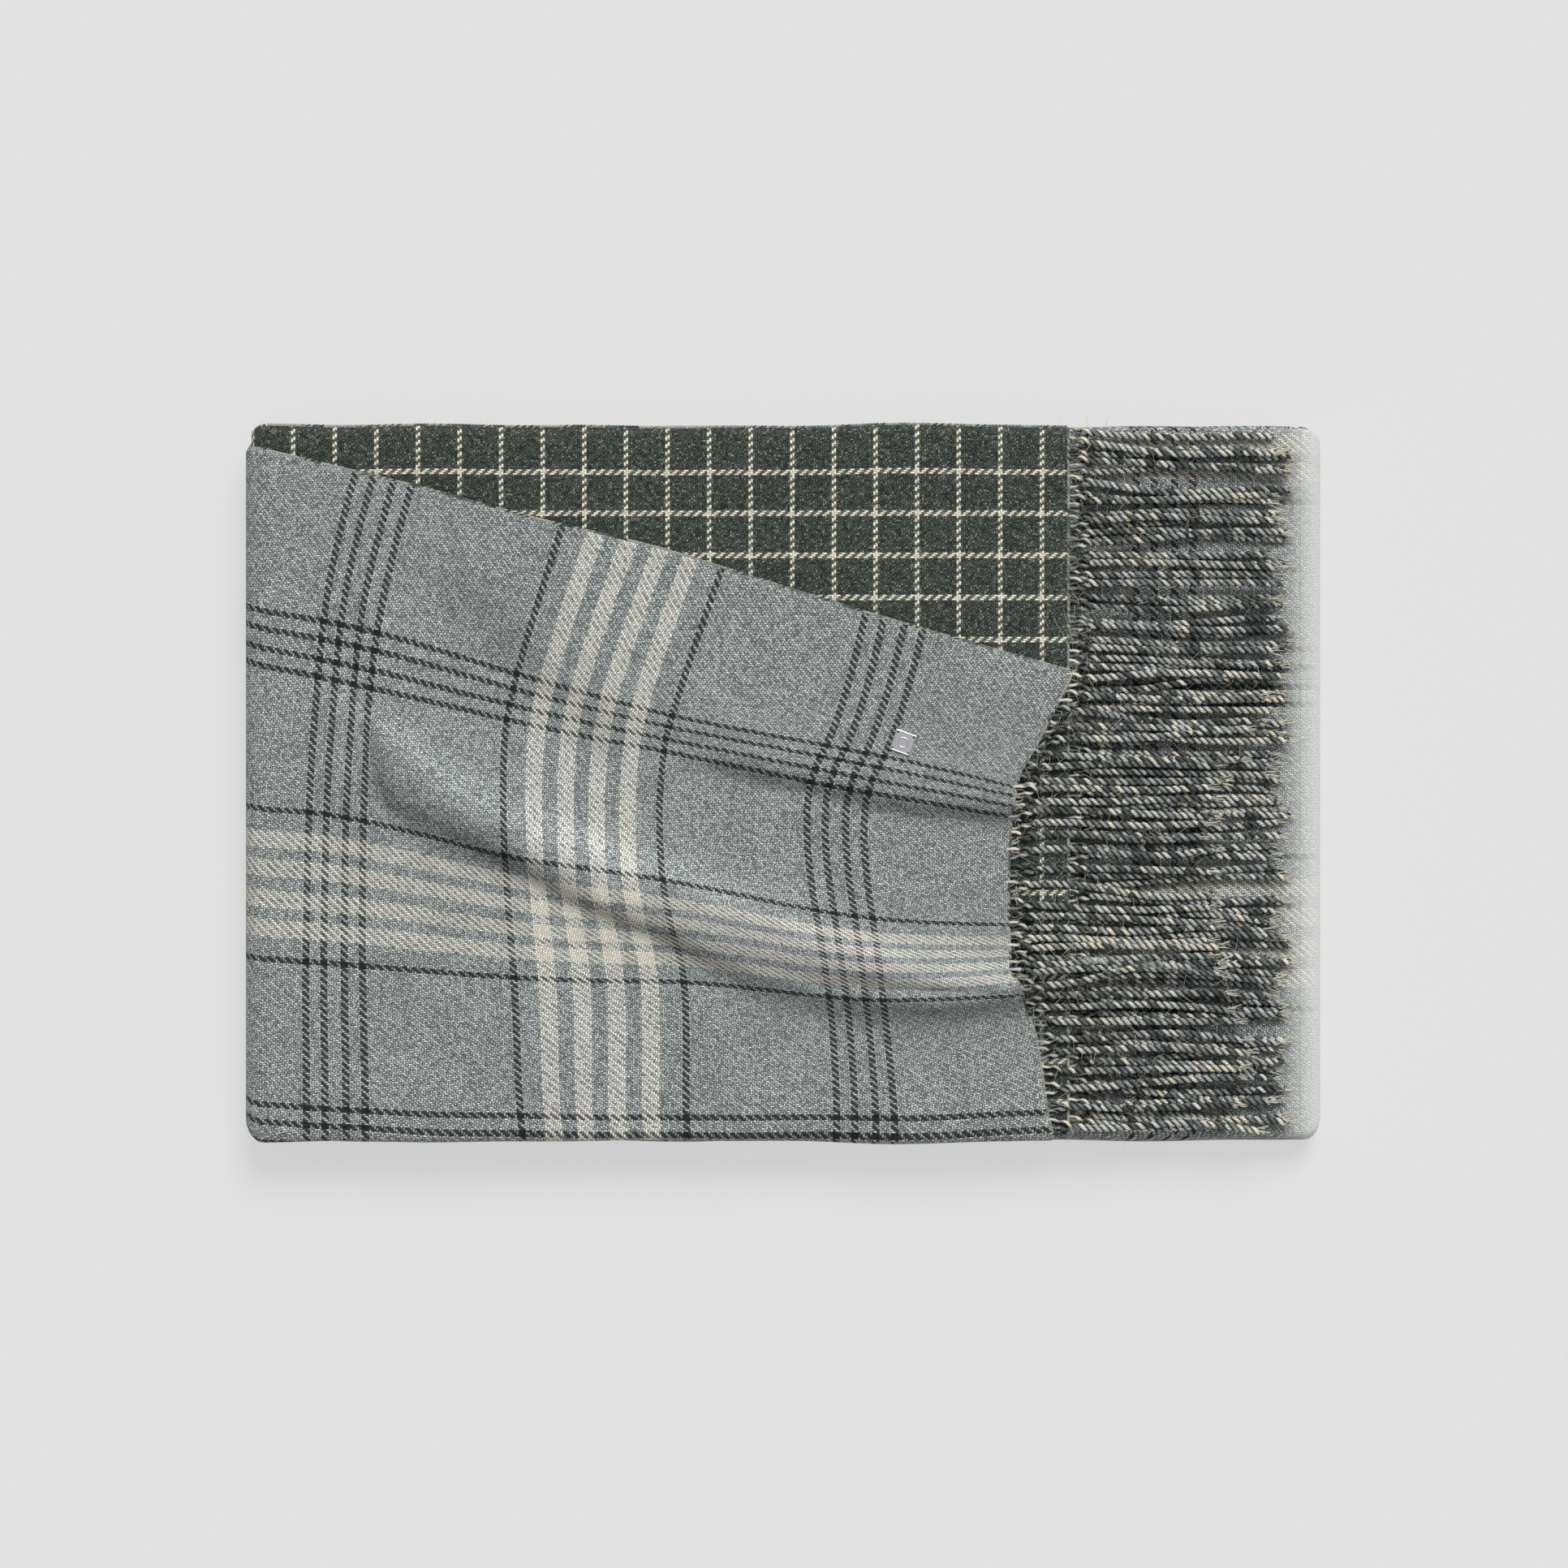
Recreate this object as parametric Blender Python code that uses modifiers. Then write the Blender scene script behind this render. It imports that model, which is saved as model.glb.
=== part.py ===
"""A double-faced throw blanket, folded: in half twice across its width, then in three along its
length as a Z. The cloth is a flat grid that is folded up by formula, so each panel, each crease
and each row of tassels takes its place from the same few sizes. Metres, +Z up. The blanket lies
on z = 0, +X points to the end whose tassels show, and every leaf's turned edge is at -Y."""

import math

import bmesh
import bpy
from mathutils import Matrix, Vector
from mathutils.geometry import intersect_point_line

# Driving sizes
FOLDED_LENGTH = 0.480  # from the left crease to the right crease
FOLDED_WIDTH = 0.320
CLOTH = 0.0022  # thickness of the double-faced cloth
LEAF_GAP = 0.0003  # between one leaf and the next
JOIN_GAP = 0.0003  # between cloth solids that meet face to face
END_PANEL_CLOTH = 0.366  # crease to woven edge, on the two panels that carry tassels
TASSEL_LENGTH = 0.098
TASSEL_ROOT = 0.003  # depth of the heading that holds a row together
TASSEL_THICKNESS = 0.0020
TASSEL_WIDTH = 0.0026
TASSELS_PER_LEAF = 34
SELVAGE_INSET = 0.0005  # the free selvages stop this short of the folded edge
BADGE_SIDE = 0.0096
BADGE_THICKNESS = 0.0008
BADGE_CORNER_INSET = 0.00105
BADGE_EDGE = 0.00015  # width of its worn edge
PIN_RADIUS = 0.00045
PIN_CLEARANCE = 0.00005
PIN_HEAD = 0.00012  # how far a pin stands above the plate
PIN_TAPER = 0.9  # the head's radius against the root's
PIN_SIDES = 16

# The top leaf has slipped: its free selvage runs aslant, and its woven edge is bowed
SELVAGE_SLIP = 0.009
SELVAGE_AT_CREASE = FOLDED_WIDTH / 2 - SELVAGE_SLIP  # y of the top leaf's selvage at the left crease
SELVAGE_AT_TASSELS = 0.050  # and at its tasselled end
BOWED_EDGE_X = 0.1005  # x of the woven edge where it lies furthest back
BOWED_EDGE_Y = -0.062  # y of that point
BOW_DEPTH = 0.027
BOW_HALF_WIDTH = 0.112
BADGE_AT = (0.0529, 0.0184)
BADGE_TURN = math.radians(-19.8)

# The top leaf lies flat at its crease and at its turned edge, and may rise this far in from them
FLAT_BY_CREASE = 0.03
FLAT_BY_TURN = 0.02

# Wrinkles of the top leaf: crest points on plan, height, half width
WRINKLES = (
    (((-0.190, 0.030), (-0.160, 0.004), (-0.132, -0.016), (-0.060, -0.041), (0.012, -0.063),
      (0.060, -0.077), (0.104, -0.086)), 0.0065, 0.0105),
    (((-0.049, 0.013), (0.012, 0.001), (0.049, -0.007), (0.105, -0.014)), 0.0030, 0.0090),
    (((0.030, -0.097), (0.106, -0.103)), 0.0025, 0.0060),
    (((0.095, 0.050), (0.110, 0.015)), 0.0020, 0.0150),
)

# What follows from them
PITCH = CLOTH + LEAF_GAP
LEAVES = 4
PANEL = LEAVES * PITCH
CREASE_X = FOLDED_LENGTH / 2 - PANEL + LEAF_GAP / 2  # where the flat panels end and a crease starts
LOWER_CREASE_Z = PANEL - LEAF_GAP / 2  # between the bottom and middle panels
UPPER_CREASE_Z = LOWER_CREASE_Z + PANEL  # between the middle and top panels
TURN_Y = -FOLDED_WIDTH / 2 + 1.5 * PITCH + CLOTH / 2  # centre of the turns at -Y
BACK_TURN_Y = FOLDED_WIDTH / 2 - 0.5 * PITCH - CLOTH / 2  # centre of the turn at +Y
SELVAGE_Y = FOLDED_WIDTH / 2 - SELVAGE_INSET
WOVEN_EDGE_X = -FOLDED_LENGTH / 2 + END_PANEL_CLOTH
HINGE_X = (CREASE_X + FOLDED_LENGTH / 2) / 2

BODY_MARK = 0.03  # how large a body's empty is drawn

COLOURS = {
    "cloth": ((0.33, 0.37, 0.38, 1), 0.95, 0.0),
    "tassel": ((0.20, 0.23, 0.23, 1), 0.95, 0.0),
    "badge": ((0.62, 0.62, 0.66, 1), 0.35, 1.0),
    "pin": ((0.05, 0.05, 0.06, 1), 0.5, 1.0),
}


def clear_scene():
    for obj in list(bpy.data.objects):
        bpy.data.objects.remove(obj, do_unlink=True)


def material(name):
    colour, roughness, metallic = COLOURS[name]
    made = bpy.data.materials.get(name) or bpy.data.materials.new(name)
    made.use_nodes = True
    surface = made.node_tree.nodes["Principled BSDF"]
    surface.inputs["Base Color"].default_value = colour
    surface.inputs["Roughness"].default_value = roughness
    surface.inputs["Metallic"].default_value = metallic
    made.diffuse_color = colour
    return made


def add_part(bm, name, kind, parent, collection):
    """The bmesh becomes an object, whose points are read in the row frame, under its body's empty."""
    mesh = bpy.data.meshes.new(name)
    bm.to_mesh(mesh)
    bm.free()
    mesh.materials.append(material(kind))
    obj = bpy.data.objects.new(name, mesh)
    collection.objects.link(obj)
    obj.parent = parent
    obj.matrix_parent_inverse = parent.matrix_world.inverted()
    return obj


def solidify(obj):
    shell = obj.modifiers.new("cloth thickness", "SOLIDIFY")
    shell.thickness = CLOTH
    shell.offset = 0
    shell.use_even_offset = True


def turn(centre_y, centre_h, radius, start, end, steps):
    """Stations round a half turn, both ends left out."""
    angles = [math.radians(start + (end - start) * i / steps) for i in range(1, steps)]
    return [(centre_y + radius * math.cos(a), centre_h + radius * math.sin(a)) for a in angles]


def straight(y0, y1, height, steps):
    return [(y0 + (y1 - y0) * i / steps, height) for i in range(steps + 1)]


def width_stations(top_steps):
    """(y, height in the panel) along the cloth's width, from the top leaf's selvage to leaf 2's."""
    return (
        straight(SELVAGE_Y, TURN_Y, 3.5 * PITCH, top_steps)
        + turn(TURN_Y, 2 * PITCH, 1.5 * PITCH, 90, 270, 8)
        + straight(TURN_Y, BACK_TURN_Y, 0.5 * PITCH, 3)
        + turn(BACK_TURN_Y, PITCH, 0.5 * PITCH, -90, 90, 6)
        + straight(BACK_TURN_Y, TURN_Y, 1.5 * PITCH, 3)
        + turn(TURN_Y, 2 * PITCH, 0.5 * PITCH, 270, 90, 6)
        + straight(TURN_Y, SELVAGE_Y, 2.5 * PITCH, 3)
    )


def slipped_selvage(x):
    share = (x + FOLDED_LENGTH / 2) / (WOVEN_EDGE_X + FOLDED_LENGTH / 2)
    return SELVAGE_AT_CREASE + (SELVAGE_AT_TASSELS - SELVAGE_AT_CREASE) * share


def bowed_edge(y):
    return BOWED_EDGE_X + BOW_DEPTH * ((y - BOWED_EDGE_Y) / BOW_HALF_WIDTH) ** 2


def wrinkle_height(x, y):
    """How far the top leaf stands above flat. Each wrinkle is a smooth ridge."""
    height = 0.0
    for crest, rise, half_width in WRINKLES:
        nearest = math.inf
        for a, b in zip(crest, crest[1:]):
            foot, share = intersect_point_line((x, y, 0), (*a, 0), (*b, 0))
            foot = Vector((*a, 0)).lerp(Vector((*b, 0)), min(1, max(0, share)))
            nearest = min(nearest, (foot - Vector((x, y, 0))).length)
        height = max(height, rise * math.exp(-((nearest / half_width) ** 2)))
    return height


def top_leaf_point(x_share, y_share):
    """A point of the top leaf's middle surface: x_share 0 at the left crease, y_share 0 at its selvage."""
    end = WOVEN_EDGE_X
    for _ in range(3):  # the bowed edge and the slanting selvage depend on each other
        y = slipped_selvage(end) + (TURN_Y - slipped_selvage(end)) * y_share
        end = bowed_edge(y)
    start = -CREASE_X + JOIN_GAP
    x = start + (end - start) * x_share
    y = slipped_selvage(x) + (TURN_Y - slipped_selvage(x)) * y_share
    flat_edges = min(1, (x - start) / FLAT_BY_CREASE, (y - TURN_Y) / FLAT_BY_TURN)
    lift = wrinkle_height(x, y) * max(0, flat_edges)
    return Vector((x, y, UPPER_CREASE_Z + 3.5 * PITCH + lift))


def folded_grid(x_steps, stations, place):
    """A flat grid, folded: place(length share, station number) gives where each of its points goes."""
    bm = bmesh.new()
    across = len(stations) - 1
    bmesh.ops.create_grid(bm, x_segments=x_steps, y_segments=across, size=0.5)
    for v in bm.verts:
        v.co = place(v.co.x + 0.5, round((v.co.y + 0.5) * across))
    return bm


def end_panel(z, direction):
    """Place function for a panel with leaf 1 on top. direction, 1 or -1, points at its tassels."""
    def place(x_share, station):
        y, height = STATIONS[station]
        near = -direction * (CREASE_X - JOIN_GAP)
        far = direction * WOVEN_EDGE_X
        return Vector((near + (far - near) * x_share, y, z + height))
    return place


def middle_panel(x_share, station):
    """The middle panel lies upside down, leaf 4 on top."""
    y, height = STATIONS[station]
    reach = CREASE_X - JOIN_GAP
    return Vector((reach * (2 * x_share - 1), y, UPPER_CREASE_Z - height))


def top_panel(x_share, station):
    if station <= TOP_STEPS:
        return top_leaf_point(x_share, station / TOP_STEPS)
    y, height = TOP_STATIONS[station]
    edge = top_leaf_point(1, 1).x if height > 2.5 * PITCH else WOVEN_EDGE_X
    start = -CREASE_X + JOIN_GAP
    return Vector((start + (edge - start) * x_share, y, UPPER_CREASE_Z + height))


def left_crease(x_share, station):
    """Half a turn from the middle panel up to the top one. Leaf 1 is outermost."""
    y, radius = STATIONS[station]
    angle = math.pi * x_share
    out = radius * math.sin(angle)
    if station <= LEAF_STEPS and y > 0:  # the top leaf's selvage slips back as it comes over
        y -= (SELVAGE_Y - SELVAGE_AT_CREASE) * (y / SELVAGE_Y) * x_share
    return Vector((-CREASE_X - out, y, UPPER_CREASE_Z - radius * math.cos(angle)))


def right_crease(x_share, station):
    """Half a turn from the bottom panel up to the middle one. Leaf 4 is outermost."""
    y, height = STATIONS[station]
    radius = PANEL - height
    angle = math.pi * x_share
    out = radius * math.sin(angle)
    return Vector((CREASE_X + out, y, LOWER_CREASE_Z - radius * math.cos(angle)))


def tassel_row(leaf_width):
    """A heading strip with a tassel standing out of it at each root: x outwards, y across, z through."""
    pitch = leaf_width / TASSELS_PER_LEAF
    columns = [-leaf_width / 2]
    for i in range(TASSELS_PER_LEAF):
        centre = -leaf_width / 2 + (i + 0.5) * pitch
        columns += [centre - TASSEL_WIDTH / 2, centre + TASSEL_WIDTH / 2]
    columns.append(leaf_width / 2)
    cells = len(columns) - 1
    bm = bmesh.new()
    bmesh.ops.create_grid(bm, x_segments=cells, y_segments=1, size=0.5)
    for v in bm.verts:
        column = round((v.co.x + 0.5) * cells)
        v.co = Vector(((v.co.y + 0.5) * TASSEL_ROOT, columns[column], -TASSEL_THICKNESS / 2))
    top = bmesh.ops.extrude_face_region(bm, geom=bm.faces[:])["geom"]
    raised = [g for g in top if isinstance(g, bmesh.types.BMVert)]
    bmesh.ops.translate(bm, vec=(0, 0, TASSEL_THICKNESS), verts=raised)
    bmesh.ops.recalc_face_normals(bm, faces=bm.faces[:])
    fronts = [f for f in bm.faces if f.normal.x > 0.9]
    fronts.sort(key=lambda f: f.calc_center_median().y)
    fronts = fronts[1::2]  # every other cell is the gap between two tassels
    for length in (TASSEL_LENGTH * 0.5, TASSEL_LENGTH * 0.5 - TASSEL_ROOT):
        fronts = bmesh.ops.extrude_discrete_faces(bm, faces=fronts)["faces"]
        for face in fronts:
            bmesh.ops.translate(bm, vec=(length, 0, 0), verts=face.verts[:])
    return bm


def straight_row(leaf, z, direction):
    """A row of tassels on a flat leaf: leaf 1 to 4 from the top of its panel."""
    bm = tassel_row(SELVAGE_Y - TURN_Y)
    height = (LEAVES - leaf + 0.5) * PITCH
    for v in bm.verts:
        x = direction * (WOVEN_EDGE_X + JOIN_GAP + v.co.x)
        v.co = Vector((x, v.co.y + (SELVAGE_Y + TURN_Y) / 2, z + height + v.co.z))
    if direction < 0:
        bmesh.ops.reverse_faces(bm, faces=bm.faces[:])
    return bm


def top_leaf_row():
    """The top leaf's tassels start at its bowed edge and come down to rest on the row below."""
    width = SELVAGE_Y - TURN_Y
    bm = tassel_row(width)
    rest = UPPER_CREASE_Z + 3.5 * PITCH
    for v in bm.verts:
        edge = top_leaf_point(1, 0.5 - v.co.y / width)
        out = v.co.x / TASSEL_LENGTH
        lift = (edge.z - rest) * (1 - out) ** 2
        v.co = Vector((edge.x + JOIN_GAP + v.co.x, edge.y, rest + lift + v.co.z))
    return bm


def surface_under_badge():
    """Where the badge sits on the top leaf: the highest cloth under it, and the cloth's slope there."""
    x, y = BADGE_AT
    step = BADGE_SIDE / 2
    heights = {
        (i, j): wrinkle_height(x + i * step, y + j * step) for i in (-1, 0, 1) for j in (-1, 0, 1)
    }
    slope = Vector((
        (heights[-1, 0] - heights[1, 0]) / (2 * step), (heights[0, -1] - heights[0, 1]) / (2 * step), 1
    )).normalized()
    base = UPPER_CREASE_Z + LEAVES * PITCH - LEAF_GAP / 2
    return Vector((x, y, base + max(heights.values()) + JOIN_GAP)), slope


def round_rod(bm, foot, head, length, matrix):
    """Adds a rod about the matrix's z axis, of these radii at its foot and its head."""
    bmesh.ops.create_cone(bm, cap_ends=True, segments=PIN_SIDES, radius1=foot, radius2=head,
                          depth=length, matrix=matrix)


def badge(parent, collection):
    """A small square plate with a hole in each corner, and the four pins that fill the holes."""
    at, slope = surface_under_badge()
    turned = Matrix.Rotation(BADGE_TURN, 4, "Z")
    tilted = Vector((0, 0, 1)).rotation_difference(slope).to_matrix().to_4x4()
    place = Matrix.Translation(at) @ tilted @ turned
    reach = BADGE_SIDE / 2 - BADGE_CORNER_INSET
    corners = [(i * reach, j * reach) for i in (-1, 1) for j in (-1, 1)]

    bm = bmesh.new()
    bmesh.ops.create_cube(bm, size=1)
    bmesh.ops.scale(bm, vec=(BADGE_SIDE, BADGE_SIDE, BADGE_THICKNESS), verts=bm.verts)
    bmesh.ops.translate(bm, vec=(0, 0, BADGE_THICKNESS / 2), verts=bm.verts)
    bmesh.ops.transform(bm, matrix=place, verts=bm.verts)
    plate = add_part(bm, "badge_plate", "badge", parent, collection)
    edge = plate.modifiers.new("worn edges", "BEVEL")
    edge.width = BADGE_EDGE
    edge.segments = 2
    drills = bmesh.new()
    hole = PIN_RADIUS + PIN_CLEARANCE
    for number, corner in enumerate(corners, 1):
        spot = place @ Matrix.Translation((*corner, BADGE_THICKNESS / 2))
        round_rod(drills, hole, hole, 4 * BADGE_THICKNESS, spot)  # right through the plate
        pin = bmesh.new()
        raised = Matrix.Translation((0, 0, PIN_HEAD / 2))
        length = BADGE_THICKNESS + PIN_HEAD
        round_rod(pin, PIN_RADIUS, PIN_RADIUS * PIN_TAPER, length, spot @ raised)
        add_part(pin, f"badge_pin_{number}", "pin", parent, collection)
    cutter = add_part(drills, "badge_drills", "pin", parent, CUTTERS)
    cutter.hide_render = True
    cutter.display_type = "WIRE"
    holes = plate.modifiers.new("pin holes", "BOOLEAN")
    holes.object = cutter
    holes.operation = "DIFFERENCE"


def body(name, location, collection):
    """An empty on a body's joint axis: whatever moves with the body is parented to it."""
    empty = bpy.data.objects.new(name, None)
    empty.location = location
    empty.empty_display_size = BODY_MARK
    collection.objects.link(empty)
    bpy.context.view_layer.update()
    return empty


clear_scene()
BLANKET = bpy.data.collections.new("folded_throw_blanket")
CUTTERS = bpy.data.collections.new("cutters")
for made in (BLANKET, CUTTERS):
    bpy.context.scene.collection.children.link(made)

LEAF_STEPS = 3
TOP_STEPS = 22
TOP_COLUMNS = 32
CREASE_STEPS = 10
STATIONS = width_stations(LEAF_STEPS)
TOP_STATIONS = width_stations(TOP_STEPS)

base = body("base", (0, 0, 0), BLANKET)
middle = body("middle", (HINGE_X, 0, LOWER_CREASE_Z), BLANKET)
top = body("top", (-HINGE_X, 0, UPPER_CREASE_Z), BLANKET)

base_z = LOWER_CREASE_Z - PANEL
for name, steps, stations, place, parent in (
    ("bottom_panel_cloth", 1, STATIONS, end_panel(base_z, -1), base),
    ("right_crease_cloth", CREASE_STEPS, STATIONS, right_crease, base),
    ("middle_panel_cloth", 1, STATIONS, middle_panel, middle),
    ("left_crease_cloth", CREASE_STEPS, STATIONS, left_crease, middle),
    ("top_panel_cloth", TOP_COLUMNS, TOP_STATIONS, top_panel, top),
):
    solidify(add_part(folded_grid(steps, stations, place), name, "cloth", parent, BLANKET))

for leaf in range(1, LEAVES + 1):
    add_part(straight_row(leaf, base_z, -1), f"bottom_tassels_leaf_{leaf}", "tassel", base, BLANKET)
    row = top_leaf_row() if leaf == 1 else straight_row(leaf, UPPER_CREASE_Z, 1)
    add_part(row, f"top_tassels_leaf_{leaf}", "tassel", top, BLANKET)

badge(top, BLANKET)
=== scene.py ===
# %% [markdown]
# # A folded throw blanket
# The blanket is one cloth woven with two faces: a pale plaid on one side and a dark window-pane
# check on the other. It is folded in half twice across its width, which gives four leaves, and
# then in three along its length, which gives three panels that lie on each other as a Z.
# The lesson loads the measured frame first, because every piece takes its place from it.

# %% Load the frame
import math

import bpy
import numpy as np
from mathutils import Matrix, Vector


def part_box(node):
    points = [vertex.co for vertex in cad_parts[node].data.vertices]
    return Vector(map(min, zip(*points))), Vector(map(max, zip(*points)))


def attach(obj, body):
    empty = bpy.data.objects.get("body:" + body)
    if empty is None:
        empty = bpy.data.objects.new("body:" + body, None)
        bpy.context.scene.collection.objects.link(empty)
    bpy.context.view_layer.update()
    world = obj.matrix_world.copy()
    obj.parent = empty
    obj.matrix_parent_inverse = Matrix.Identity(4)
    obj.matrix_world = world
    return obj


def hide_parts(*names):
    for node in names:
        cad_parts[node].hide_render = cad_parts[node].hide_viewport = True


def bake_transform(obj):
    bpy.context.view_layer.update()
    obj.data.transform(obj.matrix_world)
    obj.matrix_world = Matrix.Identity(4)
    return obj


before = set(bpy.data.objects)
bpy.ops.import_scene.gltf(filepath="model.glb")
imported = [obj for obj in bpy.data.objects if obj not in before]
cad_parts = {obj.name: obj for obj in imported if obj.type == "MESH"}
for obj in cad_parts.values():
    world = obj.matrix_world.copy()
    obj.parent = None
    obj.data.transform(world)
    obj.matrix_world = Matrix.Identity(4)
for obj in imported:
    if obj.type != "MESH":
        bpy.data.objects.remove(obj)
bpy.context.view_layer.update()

# %% [markdown]
# ## Sizes
# These repeat the frame's own sizes, in metres. A leaf is one layer of cloth, a panel is four
# leaves, and a crease is the half turn that joins two panels. Everything else follows from them.

# %% Sizes of the folded stack
MM = 0.001
PITCH = 2.5 * MM
PANEL = 4 * PITCH
CREASE_X = 230.15 * MM
LOWER_Z = 9.85 * MM
UPPER_Z = LOWER_Z + PANEL
TURN_Y = -155.15 * MM
BACK_TURN_Y = 157.65 * MM
SELVAGE_Y = 159.5 * MM
EDGE_X = 126 * MM
SHOWN_CLOTH = 2.0 * MM
JOIN = 0.02 * MM
TOP_FLAT = UPPER_Z + 3.5 * PITCH
print("top leaf lies at", round(TOP_FLAT / MM, 2), "mm")

# %% [markdown]
# ## Camera, floor and light
# The camera looks straight down through a long lens, so the sides stay out of sight. One broad
# sun from behind and a little to the right models the wrinkles; an even sky fills the shadows.

# %% Camera
LENS, SENSOR = 135, 36  # mm
VIEW_WIDTH = 0.6969  # metres of the top leaf's level that the picture is wide
camera_data = bpy.data.cameras.new("camera_above")
camera_data.lens = LENS
camera_data.sensor_width = SENSOR
camera_data.clip_end = 20
camera = bpy.data.objects.new("camera_above", camera_data)
camera.location = (0, 0, TOP_FLAT + VIEW_WIDTH * LENS / SENSOR)
bpy.context.scene.collection.objects.link(camera)
bpy.context.scene.camera = camera
print("camera height:", round(camera.location.z, 3), "m")

# %% [markdown]
# ## A floor that glows a little
# A lit studio table throws light back from all over. The floor is a matt grey that also gives
# off light of its own, which keeps the shadow round the cloth weak. The Standard view transform
# shows each colour as it is, without a film's curve, so pale cloth and floor keep their levels.

# %% Floor and light
FLOOR_HALF_SIDE, FLOOR_GREY, FLOOR_GLOW = 3.0, 0.22, 0.552
SKY_STRENGTH, SUN_STRENGTH = 0.40, 2.25
SUN_BREADTH, SUN_TILT = 30, (-38, 12, 0)  # degrees
bpy.context.scene.view_settings.view_transform = "Standard"


def add_floor():
    mesh = bpy.data.meshes.new("pale_floor")
    corners = [(FLOOR_HALF_SIDE * x, FLOOR_HALF_SIDE * y, 0) for x, y in ((-1, -1), (1, -1), (1, 1), (-1, 1))]
    mesh.from_pydata(corners, [], [(0, 1, 2, 3)])
    floor = bpy.data.objects.new("pale_floor", mesh)
    bpy.context.scene.collection.objects.link(floor)
    paint = bpy.data.materials.new("pale_floor_paint")
    paint.use_nodes = True
    surface = paint.node_tree.nodes["Principled BSDF"]
    surface.inputs["Base Color"].default_value = (FLOOR_GREY, FLOOR_GREY, FLOOR_GREY, 1)
    surface.inputs["Emission Color"].default_value = (1, 1, 1, 1)
    surface.inputs["Emission Strength"].default_value = FLOOR_GLOW
    surface.inputs["Roughness"].default_value = 1.0
    surface.inputs["Specular IOR Level"].default_value = 0.0
    mesh.materials.append(paint)


add_floor()
world = bpy.data.worlds.new("even_sky")
world.use_nodes = True
world.node_tree.nodes["Background"].inputs["Color"].default_value = (1, 1, 1, 1)
world.node_tree.nodes["Background"].inputs["Strength"].default_value = SKY_STRENGTH
bpy.context.scene.world = world
sun_data = bpy.data.lights.new("broad_sun", "SUN")
sun_data.energy = SUN_STRENGTH
sun_data.angle = math.radians(SUN_BREADTH)
sun = bpy.data.objects.new("broad_sun", sun_data)
sun.rotation_euler = [math.radians(turn) for turn in SUN_TILT]
bpy.context.scene.collection.objects.link(sun)
print("floor and light are in place")

# %% [markdown]
# ## Helpers for shader nodes
# A weave is arithmetic: which yarn lies on top here, and how far is this spot from its middle?
# Each short helper adds one node, or a few that always go together, so a formula stays readable.

# %% Shader helpers


def linear(red, green, blue):
    """Screen colour from 0 to 255, as the linear light that shaders use."""
    parts = [c / 255 for c in (red, green, blue)]
    return tuple(c / 12.92 if c <= 0.04045 else ((c + 0.055) / 1.055) ** 2.4 for c in parts) + (1.0,)


def plug(tree, socket, value):
    if hasattr(value, "is_output"):
        tree.links.new(value, socket)
    else:
        socket.default_value = value


def maths(tree, operation, *values, clamp=False):
    node = tree.nodes.new("ShaderNodeMath")
    node.operation = operation
    node.use_clamp = clamp
    for socket, value in zip(node.inputs, values):
        plug(tree, socket, value)
    return node.outputs[0]


def blend_colours(tree, share, first, second, kind="MIX"):
    node = tree.nodes.new("ShaderNodeMix")
    node.data_type = "RGBA"
    node.blend_type = kind
    plug(tree, node.inputs[0], share)
    plug(tree, node.inputs[6], first)
    plug(tree, node.inputs[7], second)
    return node.outputs[2]


def blend_numbers(tree, share, first, second):
    node = tree.nodes.new("ShaderNodeMix")
    plug(tree, node.inputs[0], share)
    plug(tree, node.inputs[2], first)
    plug(tree, node.inputs[3], second)
    return node.outputs[0]


def start_material(name, roughness, sheen=0.0):
    made = bpy.data.materials.new(name)
    made.use_nodes = True
    surface = made.node_tree.nodes["Principled BSDF"]
    surface.inputs["Roughness"].default_value = roughness
    surface.inputs["Specular IOR Level"].default_value = 0.15
    surface.inputs["Sheen Weight"].default_value = sheen
    surface.inputs["Sheen Roughness"].default_value = 0.5
    return made, made.node_tree, surface


def vector(tree, x, y, z=0.0):
    node = tree.nodes.new("ShaderNodeCombineXYZ")
    for socket, value in zip(node.inputs, (x, y, z)):
        plug(tree, socket, value)
    return node.outputs[0]


def noise(tree, where, scale, detail=2.0):
    node = tree.nodes.new("ShaderNodeTexNoise")
    plug(tree, node.inputs["Vector"], where)
    node.inputs["Scale"].default_value = scale
    node.inputs["Detail"].default_value = detail
    return node.outputs["Fac"]


def random_per(tree, where):
    node = tree.nodes.new("ShaderNodeTexWhiteNoise")
    node.noise_dimensions = "3D"
    plug(tree, node.inputs["Vector"], where)
    return node.outputs["Value"]


def shaded_by(tree, colour, lightness):
    """The colour times one number."""
    return blend_colours(tree, 1.0, colour, vector(tree, lightness, lightness, lightness), "MULTIPLY")


def surface_value(tree, name):
    """A number stored on the points of a mesh."""
    node = tree.nodes.new("ShaderNodeAttribute")
    node.attribute_name = name
    return node.outputs["Fac"]


def place_on_cloth(tree):
    """This spot's place on the flat cloth, in metres: across and along it, or along and round a yarn."""
    node = tree.nodes.new("ShaderNodeUVMap")
    node.uv_map = "Cloth"
    return node.outputs[0]


def two_parts(tree, where):
    node = tree.nodes.new("ShaderNodeSeparateXYZ")
    plug(tree, node.inputs[0], where)
    return node.outputs[0], node.outputs[1]


def add_bump(tree, surface, height, strength, distance):
    node = tree.nodes.new("ShaderNodeBump")
    node.inputs["Strength"].default_value = strength
    node.inputs["Distance"].default_value = distance
    tree.links.new(height, node.inputs["Height"])
    tree.links.new(node.outputs[0], surface.inputs["Normal"])


print("shader helpers are ready")

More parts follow.
